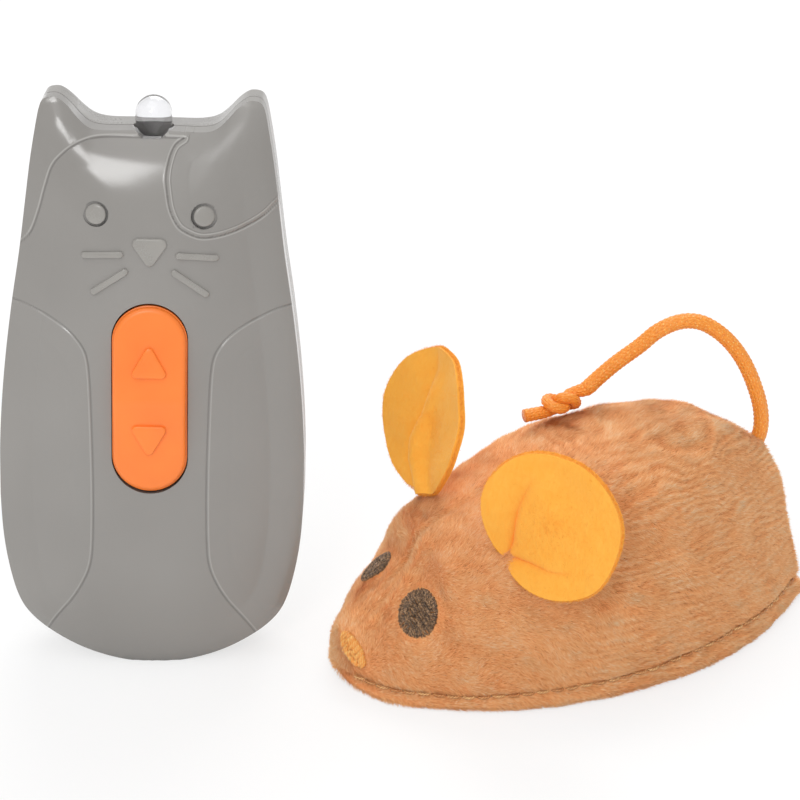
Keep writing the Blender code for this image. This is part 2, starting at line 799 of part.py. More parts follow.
def build_tray():
    floor_top = tray_underside + tray_floor
    tray = add("chassis_tray", prism(chassis_outline(tray_front_half, 0), tray_underside, tray_rim_height),
               black_abs, mouse_frame)
    shelf_top = shelf_height + shelf_thickness
    shelf = add("shelf_tool", prism(shelf_outline(0), shelf_height, shelf_top), black_abs, mouse_frame)
    bosses = add("boss_tool", merged(boss_shapes(tray_underside, tray_rim_height, boss_radius, coarse_steps)),
                 black_abs, mouse_frame)
    weld(tray, shelf, bosses)

    front_half = tray_front_half - tray_wall
    half = tray_half_width - tray_wall
    bay_front = mouse_bay_position - bay_half_length
    bay_rear = mouse_bay_position + bay_half_length
    divider_front, divider_rear = bay_front - tray_wall, bay_rear + tray_wall
    top = tray_rim_height + overrun
    front_room = prism([(tray_front + tray_wall, -front_half), (divider_front, -half), (divider_front, half),
                        (tray_front + tray_wall, front_half)], floor_top, top)
    bay_room = block((bay_front, -mouse_bay_half_width, tray_underside - overrun),
                     (bay_rear, mouse_bay_half_width, top))
    rear_half = tray_half_width * 0.76 - tray_wall
    heel = tray_rear - tray_half_width * 0.24 - tray_wall
    rear_room = prism([(divider_rear, -half), (heel, -half), (tray_rear - tray_wall, -rear_half),
                       (tray_rear - tray_wall, rear_half), (heel, half), (divider_rear, half)], floor_top, top)
    cut(tray, add("tray_rooms", merged([front_room, bay_room, rear_room]), black_abs, mouse_frame))

    pad_start = bay_rear + tray_wall * 0.5
    pad = add("pad_tool", block((pad_start, -tongue_half_width - tray_wall - gap, floor_top - gap),
                                (mouse_bay_position + door_half_length + tongue_reach + tray_wall,
                                 tongue_half_width + tray_wall + gap, shelf_height)), black_abs, mouse_frame)
    weld(tray, pad)
    recess = prism(mouse_door_outline(gap), tray_underside - overrun, tray_underside + mouse_door_thickness + gap)
    cut(tray, add("door_recess", recess, black_abs, mouse_frame))

    screw_hole = chassis_screw_radius + pin_gap
    head_room = chassis_screw_radius * 1.8 + gap
    holes = boss_shapes(tray_underside - overrun, top, screw_hole, 12)
    counterbores = boss_shapes(tray_underside - overrun, tray_underside + 2 * chassis_screw_radius,
                               head_room, coarse_steps)
    stud_hole = prism(circle(caster_stud_radius + gap, coarse_steps, (caster_position, 0)),
                      shelf_height - overrun, shelf_top + overrun)
    slot_half_length = switch_knob_half_length + switch_travel / 2 + switch_slot_end_gap
    slot_half_width = switch_knob_half_width + gap
    slot = block((switch_position - slot_half_length, switch_offset - slot_half_width, tray_underside - overrun),
                 (switch_position + slot_half_length, switch_offset + slot_half_width, floor_top + overrun))
    pilot = prism(circle(door_screw_radius + running_gap, 12, (door_screw_position, 0)), tray_underside,
                  shelf_height - tray_wall)
    cut(tray, add("tray_holes", merged(holes + [stud_hole, slot, pilot]), black_abs, mouse_frame),
        add("tray_counterbores", merged(counterbores), black_abs, mouse_frame))

    cradle_width = motor_can_width * 0.8
    cradle = block((motor_position - cradle_width / 2, motor_can_end - motor_can_length + gap, floor_top - gap),
                   (motor_position + cradle_width / 2, motor_can_end - 2 * gap,
                    motor_height - motor_can_height / 2 - gap))
    rib_half = 2.4 * mm
    rib_face = motor_can_end + gap
    rib = block((compound_x - rib_half, rib_face, floor_top - gap),
                (compound_x + rib_half, rib_face + tray_wall, compound_z + 2 * gear_pin_radius))
    weld(tray, add("cradle_tool", cradle, black_abs, mouse_frame), add("rib_tool", rib, black_abs, mouse_frame))

    axle_bore = prism(circle(axle_radius + running_gap, fine_steps, (axle_position, -wheel_radius)),
                      -tray_half_width - overrun, tray_half_width + overrun)
    pin_bore = prism(circle(gear_pin_radius + pin_gap, coarse_steps, (compound_x, -compound_z)),
                     rib_face - overrun, tray_half_width + overrun)
    bores = merged([axle_bore, pin_bore])
    bmesh.ops.rotate(bores, matrix=Matrix.Rotation(-pi / 2, 3, 'X'), verts=bores.verts)
    cut(tray, add("bearing_bores", bores, black_abs, mouse_frame))
    return tray


def build_lid():
    low = tray_rim_height + gap
    deck = low + lid_thickness
    lid = add("chassis_lid", prism(chassis_outline(tray_front_half, 0), low, deck), black_abs, mouse_frame)
    hood_outline = [(hood_front, -tray_half_width), (hood_rear, -tray_half_width),
                    (hood_rear, tray_half_width), (hood_front, tray_half_width)]
    hood = add("hood_tool", prism(hood_outline, low, hood_height), black_abs, mouse_frame)
    bosses = add("lid_bosses", merged(boss_shapes(low, deck + boss_rise, boss_radius, coarse_steps)),
                 black_abs, mouse_frame)
    weld(lid, hood, bosses)
    wall = tray_wall
    room = block((hood_front + wall, -tray_half_width + wall, low - overrun),
                 (hood_rear - wall, tray_half_width - wall, hood_height - lid_thickness))
    cut(lid, add("hood_room_tool", room, black_abs, mouse_frame))
    pilots = boss_shapes(low - overrun, deck + boss_rise * 0.6, chassis_screw_radius + running_gap, 12)
    cut(lid, add("lid_pilots", merged(pilots), black_abs, mouse_frame))
    return lid


def build_chassis_screws():
    names = ("front_near", "front_far", "rear_near", "rear_far")
    turn = Matrix.Rotation(pi, 3, 'X')
    seat = tray_underside + 2 * chassis_screw_radius - gap
    length = tray_rim_height + gap + lid_thickness - seat
    for name, (x, y) in zip(names, boss_places):
        screw("chassis_screw_" + name, chassis_screw_radius, length, mouse_frame, (x, y, seat), turn)


# Battery bay of the mouse: door, three button cells and their contacts

def build_mouse_power():
    low = tray_underside
    door = add("mouse_battery_door", prism(mouse_door_outline(0), low, low + mouse_door_thickness), black_abs,
               mouse_frame)
    sink_depth = door_screw_radius * screw_head_share + running_gap
    spot = (door_screw_position, 0)
    hole = prism(circle(door_screw_radius + pin_gap, 12, spot), low - overrun, low + mouse_door_thickness + overrun)
    sink = prism(circle(door_screw_radius * 1.8 + pin_gap, coarse_steps, spot), low - overrun, low + sink_depth)
    cut(door, add("mouse_door_hole", hole, black_abs, mouse_frame),
        add("mouse_door_sink", sink, black_abs, mouse_frame))
    screw("mouse_door_screw", door_screw_radius, mouse_door_screw_length, mouse_frame,
          (door_screw_position, 0, low + sink_depth - running_gap / 2), Matrix.Rotation(pi, 3, 'X'))
    stack = button_cell_count * button_cell_length + (button_cell_count - 1) * gap
    stack_end = mouse_bay_half_width - 3 * gap
    cap = button_cell_radius * 0.82
    rim = button_cell_length * 0.14
    for i in range(button_cell_count):
        end = stack_end - i * (button_cell_length + gap)
        profile = [(0, 0), (cap, 0), (cap, rim), (button_cell_radius, rim * 1.6),
                   (button_cell_radius, button_cell_length), (0, button_cell_length)]
        add(f"button_cell_{i + 1}", turned(profile, fine_steps), bright_steel, mouse_frame,
            (mouse_bay_position, end, bay_centre_height), ALONG_Y)
    plate = gap
    for name, y in (("plus", mouse_bay_half_width - 2 * gap), ("minus", -mouse_bay_half_width + gap)):
        half = button_cell_radius * 0.7
        shape = block((mouse_bay_position - half, y, bay_centre_height - half),
                      (mouse_bay_position + half, y + plate, bay_centre_height + half))
        add("mouse_contact_" + name, shape, bright_steel, mouse_frame)
    spring_start = -mouse_bay_half_width + 3 * gap
    spring_room = stack_end - stack - spring_start - gap
    spiral_spring("mouse_contact_spring", button_cell_radius * 0.62, button_cell_radius * 0.25, spring_room,
                  spring_wire, mouse_frame, (mouse_bay_position, spring_start, bay_centre_height),
                  Matrix.Rotation(-pi / 2, 3, 'X'))
    return door


# Gear train: pinion on the motor shaft, compound gear, gear on the rear axle

def gear_outline(teeth, phase):
    """Involute teeth, pressure angle 20 degrees, thinned for backlash. Phase turns a tooth to that angle."""
    pitch = gear_module * teeth / 2
    base = pitch * cos(radians(20))
    outer = pitch + gear_module
    root = pitch - 1.2 * gear_module

    def involute(radius):
        if radius <= base:
            return 0.0
        slope = acos(base / radius)
        return tan(slope) - slope

    half = pi / (2 * teeth) - tooth_backlash / (2 * pitch) + involute(pitch)
    flank = [root, pitch, outer]
    outline = []
    for tooth in range(teeth):
        centre = phase + 2 * pi * tooth / teeth
        for radius in flank:
            outline.append((radius, centre - half + involute(radius)))
        for radius in reversed(flank):
            outline.append((radius, centre + half - involute(radius)))
    return [(radius * cos(a), radius * sin(a)) for radius, a in outline]


def mesh_phase(own_teeth, other_teeth, other_phase, toward_other):
    """The phase that puts a gap of this gear where the other gear has a tooth on the line of centres."""
    other_line = toward_other + pi
    off = (other_line - other_phase) * other_teeth / (2 * pi)
    shift = off - round(off)
    return toward_other + pi / own_teeth + shift * 2 * pi / own_teeth


def ring_of(outline, hole_radius, low, high, name, material, location):
    """A gear blank with a bore, standing on its axle along Y."""
    gear = add(name, prism(outline, low, high), material, mouse_frame, location, ALONG_Y)
    bore = add(name + "_bore", prism(circle(hole_radius, fine_steps), low - overrun, high + overrun), material,
               mouse_frame, location, ALONG_Y)
    cut(gear, bore)
    return gear


def build_gears():
    axle_spot = (axle_position, 0, wheel_radius)
    compound_spot = (compound_x, 0, compound_z)
    motor_spot = (motor_position, 0, motor_height)
    to_compound = atan2(compound_z - wheel_radius, compound_x - axle_position)
    to_motor = atan2(motor_height - compound_z, motor_position - compound_x)
    axle_phase = to_compound
    small_phase = mesh_phase(compound_small_teeth, axle_gear_teeth, axle_phase, to_compound + pi)
    large_phase = to_motor
    pinion_phase = mesh_phase(pinion_teeth, compound_large_teeth, large_phase, to_motor + pi)

    # Local +Z of these pieces is world -Y, so a face at y is at local -y
    axle_gear = ring_of(gear_outline(axle_gear_teeth, axle_phase), axle_radius + gap, -axle_gear_low - gear_face,
                        -axle_gear_low, "axle_gear", white_acetal, axle_spot)
    compound = add("compound_gear", prism(gear_outline(compound_large_teeth, large_phase),
                                          -large_low - gear_face + gap, -large_low),
                   white_acetal, mouse_frame, compound_spot, ALONG_Y)
    small = add("compound_small", prism(gear_outline(compound_small_teeth, small_phase), -small_high,
                                        -large_low - gap), white_acetal, mouse_frame, compound_spot, ALONG_Y)
    weld(compound, small)
    bore = add("compound_bore", prism(circle(gear_pin_radius + pin_gap, coarse_steps), -small_high - overrun,
                                      -large_low + overrun), white_acetal, mouse_frame, compound_spot, ALONG_Y)
    cut(compound, bore)

    pinion_high = large_low + gear_face
    pinion = add("motor_pinion", prism(gear_outline(pinion_teeth, pinion_phase), -pinion_high, -pinion_low),
                 white_acetal, mouse_frame, motor_spot, ALONG_Y)
    shaft = add("shaft_tool", prism(circle(motor_shaft_radius, 12), -pinion_high - gap, -motor_can_end - 4 * gap),
                bright_steel, mouse_frame, motor_spot, ALONG_Y)
    weld(pinion, shaft)
    pin = prism(circle(gear_pin_radius, coarse_steps), -tray_half_width + gap, -motor_can_end - 2 * gap)
    add("compound_gear_pin", pin, bright_steel, mouse_frame, compound_spot, ALONG_Y)


def build_motor():
    half_flat = motor_can_height / 2
    straight = (motor_can_width - motor_can_height) / 2
    arc = [pi / 2 + pi * k / 8 for k in range(9)]
    can = [(-straight + half_flat * cos(a), half_flat * sin(a)) for a in arc]
    can += [(straight + half_flat * cos(a + pi), half_flat * sin(a + pi)) for a in arc]
    motor = add("drive_motor", prism(can, -motor_can_end, motor_can_length - motor_can_end), bright_steel,
                mouse_frame, (motor_position, 0, motor_height), ALONG_Y)
    nose = add("motor_nose", prism(circle(motor_nose_radius, coarse_steps), -motor_can_end - 2 * gap, 0), bright_steel,
               mouse_frame, (motor_position, 0, motor_height), ALONG_Y)
    weld(motor, nose)


def build_axle():
    spot = (axle_position, 0, wheel_radius)
    end = wheel_outer - gap
    chamfer = axle_radius * 0.3
    profile = [(0, -end), (axle_radius - chamfer, -end), (axle_radius, -end + chamfer),
               (axle_radius, end - chamfer), (axle_radius - chamfer, end), (0, end)]
    add("rear_axle", turned(profile, coarse_steps), bright_steel, mouse_frame, spot, ALONG_Y)
    rim = wheel_radius - tyre_thickness - gap
    half = wheel_width / 2
    web = half * 0.4
    bore = axle_radius + gap
    hub = axle_radius * 2.6
    inner_rim = rim - tyre_thickness
    wheel_profile = [(bore, -half), (hub, -half), (hub, -web), (inner_rim, -web), (inner_rim, -half),
                     (rim, -half), (rim, half), (inner_rim, half), (inner_rim, web), (hub, web), (hub, half),
                     (bore, half)]
    shoulder = tyre_thickness * 0.4
    tyre_inner = wheel_radius - tyre_thickness
    tyre_profile = [(tyre_inner, -half), (wheel_radius - shoulder, -half), (wheel_radius, -half + shoulder),
                    (wheel_radius, half - shoulder), (wheel_radius - shoulder, half), (tyre_inner, half)]
    for name, side in (("near", -1), ("far", 1)):
        centre = (axle_position, side * (wheel_inner + half), wheel_radius)
        add("wheel_" + name, turned(wheel_profile, fine_steps, True), white_acetal, mouse_frame, centre, ALONG_Y)
        add("tyre_" + name, turned(tyre_profile, fine_steps, True), black_rubber, mouse_frame, centre, ALONG_Y)


# Front caster: a small trailing wheel in a fork that snaps up through the shelf

def build_caster():
    disc = caster_stud_radius * 3.2
    disc_high = shelf_height - gap
    disc_low = disc_high - caster_disc_thickness
    stud_neck = shelf_height + shelf_thickness + gap
    profile = [(0, disc_low), (disc, disc_low), (disc, disc_high), (caster_stud_radius, disc_high),
               (caster_stud_radius, stud_neck), (caster_stud_radius * 1.6, stud_neck),
               (caster_stud_radius * 1.6, stud_neck + gap), (caster_stud_radius, stud_top), (0, stud_top)]
    fork = add("caster_fork", turned(profile, coarse_steps), white_acetal, mouse_frame, (caster_position, 0, 0))
    arm_inner = caster_wheel_width / 2 + gap
    arm_outer = arm_inner + caster_arm_thickness
    arm_low = caster_wheel_radius - 2 * caster_pin_radius
    arms = [block((-caster_pin_radius, side * arm_inner if side > 0 else -arm_outer, arm_low),
                  (caster_trail + 2 * caster_pin_radius, arm_outer if side > 0 else -arm_inner,
                   disc_low + gap)) for side in (-1, 1)]
    weld(fork, add("caster_arms", merged(arms), white_acetal, mouse_frame, (caster_position, 0, 0)))
    wheel_spot = (caster_position + caster_trail, 0, caster_wheel_radius)
    hole = add("caster_pin_hole", prism(circle(caster_pin_radius + pin_gap, 12), -arm_outer - overrun,
                                        arm_outer + overrun), white_acetal, mouse_frame, wheel_spot, ALONG_Y)
    cut(fork, hole)
    half = caster_wheel_width / 2
    bore = caster_pin_radius + caster_bore_gap
    edge = caster_wheel_radius * 0.12
    wheel = [(bore, -half), (caster_wheel_radius - edge, -half), (caster_wheel_radius, -half + edge),
             (caster_wheel_radius, half - edge), (caster_wheel_radius - edge, half), (bore, half)]
    add("caster_wheel", turned(wheel, fine_steps, True), black_abs, mouse_frame, wheel_spot, ALONG_Y)
    add("caster_pin", prism(circle(caster_pin_radius, 12), -arm_outer, arm_outer), bright_steel, mouse_frame,
        wheel_spot, ALONG_Y)


# Mouse electronics: circuit board, infrared receiver and power switch

def build_mouse_electronics():
    centre = (mouse_board_front + mouse_board_rear) / 2
    corners = rectangle(mouse_board_rear - mouse_board_front, 2 * mouse_board_half_width, (centre, 0))
    add("mouse_circuit_board", prism(rounded(corners, mouse_board_corner, 2), board_low, board_high), green_board,
        mouse_frame)
    base = board_high + gap
    width = receiver_length * 0.8
    depth = receiver_length * 0.45
    lens_radius = width * 0.42
    x = mouse_board_rear - depth - gap
    top = base + receiver_height
    can = add("ir_receiver", block((x - depth / 2, -width / 2, base), (x + depth / 2, width / 2, top - gap)),
              black_abs, mouse_frame)
    arc = [pi / 2 * k / 4 for k in range(5)]
    lens = [(0, -gap)] + [(lens_radius * cos(a), lens_radius * sin(a)) for a in arc[:-1]] + [(0, lens_radius)]
    face = Matrix.Rotation(-pi / 2, 3, 'Y')
    weld(can, add("receiver_lens", turned(lens, coarse_steps), black_abs, mouse_frame,
                  (x - depth / 2 + gap, 0, (base + top) / 2), face))
    floor_top = tray_underside + tray_floor
    half_length, half_width, height = 3.9 * mm, 1.9 * mm, 3.4 * mm
    add("power_switch_body", block((switch_position - half_length, switch_offset - half_width, floor_top + gap),
                                   (switch_position + half_length, switch_offset + half_width,
                                    floor_top + gap + height)), black_abs, mouse_frame)
    low = (-switch_knob_half_length, -switch_knob_half_width, tray_underside - gap)
    high = (switch_knob_half_length, switch_knob_half_width, floor_top)
    add("power_switch_knob", block(low, high), white_acetal, mouse_frame,
        (switch_position - switch_travel / 2, switch_offset, 0))


# Handset case. Its own axes: +X to the viewer's right, +Z up, the face towards -Y.
# Half outline from the foot up the right side to the middle of the brow, as shares of the
# half width and of the height: a round end, full hips, and an ear between brow and tip.

case_outline_shares = [
    (0.000, 0.0000), (0.242, 0.0085), (0.471, 0.0277), (0.672, 0.0572), (0.805, 0.0862), (0.882, 0.1170),
    (0.939, 0.1666), (0.981, 0.2309), (0.999, 0.3055), (1.000, 0.3751), (0.987, 0.4547), (0.958, 0.5442),
    (0.911, 0.6440), (0.856, 0.7385), (0.815, 0.8234), (0.781, 0.8933), (0.747, 0.9478), (0.722, 0.9821),
    (0.697, 0.9960), (0.652, 1.0000), (0.603, 0.9985), (0.539, 0.9860), (0.470, 0.9660), (0.400, 0.9515),
    (0.311, 0.9470), (0.151, 0.9475), (0.000, 0.9480)]
spine_low_share, spine_high_share = 0.24, 0.80


def case_outline():
    """The whole outline, anticlockwise from the foot, as (x, z)."""
    right = [(handset_width / 2 * x, handset_height * z) for x, z in case_outline_shares]
    left = [(-x, z) for x, z in reversed(right[1:-1])]
    return right + left


outline_points = [Vector(p) for p in case_outline()]


def spine_point(point):
    """The nearest point of the case's middle line."""
    low, high = handset_height * spine_low_share, handset_height * spine_high_share
    return Vector((0, min(high, max(low, point.y))))


def edge_distance(spot):
    """How far a point of the face is inside the outline, negative outside."""
    best = handset_width
    inside = False
    count = len(outline_points)
    for i in range(count):
        a, b = outline_points[i], outline_points[(i + 1) % count]
        side = b - a
        share = min(1.0, max(0.0, (spot - a).dot(side) / side.dot(side)))
        best = min(best, (spot - a - side * share).length)
        if (a.y > spot.y) != (b.y > spot.y) and spot.x < a.x + side.x * (spot.y - a.y) / side.y:
            inside = not inside
    return best if inside else -best


def dome_depth(spot, full, low_side, edge_round):
    """Depth of the shell's outer face: upright sides, then a round that dies into a flat.

    The distance to the edge is averaged over a small circle, which softens the valleys by the ears.
    """
    around = [Vector((case_softness * cos(pi * k / 4), case_softness * sin(pi * k / 4))) for k in range(8)]
    mean = (edge_distance(spot) + sum(edge_distance(spot + arm) for arm in around)) / 9
    share = min(1.0, max(0.0, mean / edge_round))
    return low_side + (full - low_side) * sqrt(1 - (1 - share) ** 2)


def inset_ring(amount):
    """The outline moved in by an amount, towards the spine, sideways moves limited at the ear tips."""
    ring = []
    count = len(outline_points)
    for i, point in enumerate(outline_points):
        along = (outline_points[(i + 1) % count] - outline_points[i - 1]).normalized()
        inward = Vector((-along.y, along.x))
        aim = (spine_point(point) - point).normalized()
        facing = max(0.45, aim.dot(inward))
        ring.append(point + aim * (amount / facing))
    return ring


outer_share_steps = (0.72, 0.45, 0.25, 0.12, 0.04)
inner_share_steps = (0.0, 0.25, 0.6)


def shell_rings(full, low_side, edge_round, side):
    """Outer and inner faces of one half shell. Side is -1 for the front and 1 for the back."""
    def flat(ring, depth):
        return [Vector((p.x, side * depth, p.y)) for p in ring]

    def domed(start, share, sink):
        ring = [p.lerp(s, share) for p, s in zip(start, spine)]
        return [Vector((p.x, side * (dome_depth(p, full, low_side, edge_round) - sink), p.y)) for p in ring]

    edge = inset_ring(0)
    inner_edge = inset_ring(case_wall)
    spine = [spine_point(p) for p in outline_points]
    lip = inset_ring(lip_inset if side < 0 else lip_inset + gap)
    lip_depth = lip_height if side < 0 else -(lip_height - gap)
    rings = [domed(edge, share, 0) for share in (1.0,) + outer_share_steps]
    rings += [flat(edge, low_side), flat(edge, gap / 2), flat(lip, gap / 2), flat(lip, lip_depth),
              flat(inner_edge, lip_depth)]
    rings += [domed(inner_edge, share, case_wall) for share in inner_share_steps + (1.0,)]
    return rings


def half_shell(full, low_side, edge_round, side):
    shape = loft(shell_rings(full, low_side, edge_round, side), capped=False)
    bmesh.ops.remove_doubles(shape, verts=shape.verts, dist=gap / 30)
    bmesh.ops.dissolve_degenerate(shape, edges=shape.edges, dist=gap / 30)
    return shape


post_low_x, post_low_z = 18.3 * mm, 31.0 * mm
post_high_x, post_high_drop = 16.4 * mm, 21.2 * mm
post_high_z = handset_height - post_high_drop
case_screw_places = [(side * x, z) for x, z in ((post_low_x, post_low_z), (post_high_x, post_high_z))
                     for side in (-1, 1)]
rocker_half = rocker_length / 2
door_bottom = handset_bay_bottom - door_ledge - door_foot_room
door_top = handset_bay_bottom + handset_bay_length + door_ledge + door_screw_room
door_width = 2 * (handset_bay_half_width + door_ledge)
door_screw_height = handset_bay_bottom + handset_bay_length + door_ledge + door_screw_rise


def stadium(width, length, centre, steps=8):
    """A slot outline standing on end, anticlockwise."""
    radius = width / 2
    rise = length / 2 - radius
    x, z = centre
    top = [(x + radius * cos(pi * k / steps), z + rise + radius * sin(pi * k / steps)) for k in range(steps + 1)]
    low = [(x - radius * cos(pi * k / steps), z - rise - radius * sin(pi * k / steps)) for k in range(steps + 1)]
    return top + low


def face_depth(x, z):
    return dome_depth(Vector((x, z)), case_front_depth, case_front_side, case_front_round)


def groove(points, width, depth):
    """A V groove that follows the face: a three-sided run sunk to its depth."""
    rings = []
    count = len(points)
    spots = [Vector(p) for p in points]
    for i, spot in enumerate(spots):
        along = (spots[min(i + 1, count - 1)] - spots[max(i - 1, 0)]).normalized()
        across = Vector((-along.y, along.x)) * (width / 2)
        ring = []
        for offset, sink in ((-1, -depth), (0, depth), (1, -depth)):
            p = spot + across * offset
            ring.append(Vector((p.x, -(face_depth(spot.x, spot.y) - sink), p.y)))
        rings.append(ring)
    return loft(rings)


# Lines of the face, as shares of the half width and of the height
brow_line_shares = [(-0.834, 0.755), (-0.772, 0.7735), (-0.716, 0.8134), (-0.674, 0.8537), (-0.628, 0.8887),
                    (-0.563, 0.9096), (-0.481, 0.926), (-0.378, 0.9355), (-0.256, 0.938), (-0.110, 0.938)]
patch_line_shares = [(0.146, 0.938), (0.207, 0.938), (0.151, 0.9278), (0.116, 0.9054), (0.100, 0.879),
                     (0.108, 0.8552), (0.129, 0.8262), (0.174, 0.8016), (0.225, 0.790), (0.320, 0.7799),
                     (0.428, 0.7811), (0.541, 0.7885), (0.635, 0.7987), (0.728, 0.8129), (0.790, 0.8275)]
flank_line_shares = [(0.908, 0.6527), (0.820, 0.6486), (0.725, 0.6384), (0.626, 0.6265), (0.538, 0.6118),
                     (0.465, 0.5928), (0.421, 0.5719), (0.402, 0.5400), (0.391, 0.480), (0.381, 0.380),
                     (0.379, 0.304), (0.383, 0.247), (0.395, 0.207), (0.432, 0.1758), (0.513, 0.1359),
                     (0.652, 0.0846)]


def scaled(shares, side=1):
    return [(side * handset_width / 2 * x, handset_height * z) for x, z in shares]


def bar(start, end, width):
    """A whisker's outline: a slot between two points."""
    a, b = Vector(start), Vector(end)
    along = (b - a).normalized()
    turn = atan2(along.y, along.x)
    steps = 4
    outline = []
    for centre, shift in ((b, -pi / 2), (a, pi / 2)):
        for k in range(steps + 1):
            angle = turn + shift + pi * k / steps
            outline.append((centre.x + width / 2 * cos(angle), centre.y + width / 2 * sin(angle)))
    return outline


def raised(outline, height, sink):
    """A flat-topped form that follows the face, from under its skin to a height above it."""
    rings = []
    for lift in (-sink, height):
        rings.append([Vector((x, -(face_depth(x, z) + lift), z)) for x, z in outline])
    return loft(rings)


def triangle(width, height, centre, point_up, radius):
    x, z = centre
    tip = 1 if point_up else -1
    corners = [(x - width / 2, z - tip * height / 2), (x + width / 2, z - tip * height / 2),
               (x, z + tip * height / 2)]
    if not point_up:
        corners = [corners[1], corners[0], corners[2]]
    return rounded(corners, radius, 3)


def build_front_shell():
    shell = add("front_shell", half_shell(case_front_depth, case_front_side, case_front_round, -1), grey_abs, handset_frame)
    sunk = case_wall * 0.5
    relief = 0.45 * mm
    eye_x, eye_radius, eye_ring = 9.45 * mm, 1.8 * mm, 0.45 * mm
    eye_z = handset_height - eye_drop
    pockets = []
    discs = []
    for side in (-1, 1):
        spot = (side * eye_x, eye_z)
        pockets.append(raised(circle(eye_radius + eye_ring, coarse_steps, spot), overrun, relief))
        discs.append(raised(circle(eye_radius, coarse_steps, spot), relief * 0.6, sunk))
    cut(shell, add("eye_pockets", merged(pockets), grey_abs, handset_frame))

    nose_width, nose_height, nose_corner = 7.4 * mm, 5.6 * mm, 1.1 * mm
    nose_z = handset_height - nose_drop
    nose = raised(triangle(nose_width, nose_height, (0, nose_z), False, nose_corner), relief, sunk)
    whiskers = []
    whisker_width = 1.1 * mm
    upper_inner_x, upper_outer_x = 5.1 * mm, 11.5 * mm
    lower_inner_x, lower_outer_x = 4.3 * mm, 9.9 * mm
    upper = ((upper_inner_x, upper_whisker_inner_drop), (upper_outer_x, upper_whisker_outer_drop))
    lower = ((lower_inner_x, lower_whisker_inner_drop), (lower_outer_x, lower_whisker_outer_drop))
    for start, end in (upper, lower):
        for side in (-1, 1):
            a, b = (side * start[0], handset_height - start[1]), (side * end[0], handset_height - end[1])
            whiskers.append(raised(bar(a, b, whisker_width), relief * 0.7, sunk))
    post_places = case_screw_places
    posts = [tilted_to_y(circle(case_screw_radius * 2.4, coarse_steps, spot), -face_depth(*spot) + case_wall * 0.6,
                         -gap) for spot in post_places]
    bearing_inner = rocker_width / 2 + rocker_side_gap
    bearing_outer = bearing_inner + rocker_pin_length
    bearing_half = rocker_pin_radius * 2.3
    bearings = []
    for side in (-1, 1):
        low_x, high_x = sorted((side * bearing_inner, side * bearing_outer))
        bearings.append(block((low_x, -case_front_depth + case_wall * 0.6, rocker_centre_height - bearing_half),
                              (high_x, -rocker_axis_depth + 2 * rocker_pin_radius,
                               rocker_centre_height + bearing_half)))
    weld(shell, add("relief_tool", merged(discs + [nose] + whiskers + posts + bearings), grey_abs, handset_frame))

    opening = stadium(rocker_width + 2 * rocker_side_gap, rocker_length + 2 * rocker_end_gap,
                      (0, rocker_centre_height), 10)
    cut(shell, add("rocker_opening", tilted_to_y(opening, -case_front_depth - overrun,
                                                 handset_board_front), grey_abs, handset_frame))
    pivot = prism(circle(rocker_pin_radius + pin_gap, coarse_steps), -bearing_outer - overrun,
                  bearing_outer + overrun)
    bmesh.ops.rotate(pivot, matrix=Matrix.Rotation(pi / 2, 3, 'Y'), verts=pivot.verts)
    cut(shell, add("rocker_pivot_bore", pivot, grey_abs, handset_frame,
                   (0, -rocker_axis_depth, rocker_centre_height)))
    pilots = [tilted_to_y(circle(case_screw_radius + running_gap, 12, spot), -face_depth(*spot) + 2 * case_wall,
                          overrun) for spot in post_places]
    cut(shell, add("post_pilots", merged(pilots), grey_abs, handset_frame))

    line_width, line_depth = 0.9 * mm, 0.4 * mm
    lines = [groove(scaled(brow_line_shares), line_width, line_depth),
             groove(scaled(patch_line_shares), line_width, line_depth),
             groove(scaled(flank_line_shares, 1), line_width, line_depth),
             groove(scaled(flank_line_shares, -1), line_width, line_depth)]
    cut(shell, add("face_lines", merged(lines), grey_abs, handset_frame))

    notch_top, notch_foot = 7.2 * mm, 3.2 * mm
    notch_bottom = handset_height - notch_drop
    notch_side_rise = 2.0 * mm
    notch_rise = handset_height - notch_bottom
    flare = (notch_top - notch_foot) / 2 * (notch_rise / notch_side_rise)
    notch = [(-notch_foot / 2, notch_bottom), (notch_foot / 2, notch_bottom),
             (notch_foot / 2 + flare, handset_height), (-notch_foot / 2 - flare, handset_height)]
    cut(shell, add("led_notch", tilted_to_y(notch, -case_front_depth - overrun, -led_radius / 2), grey_abs,
                   handset_frame))
    cut(shell, led_bore, floor_tool)
    return shell


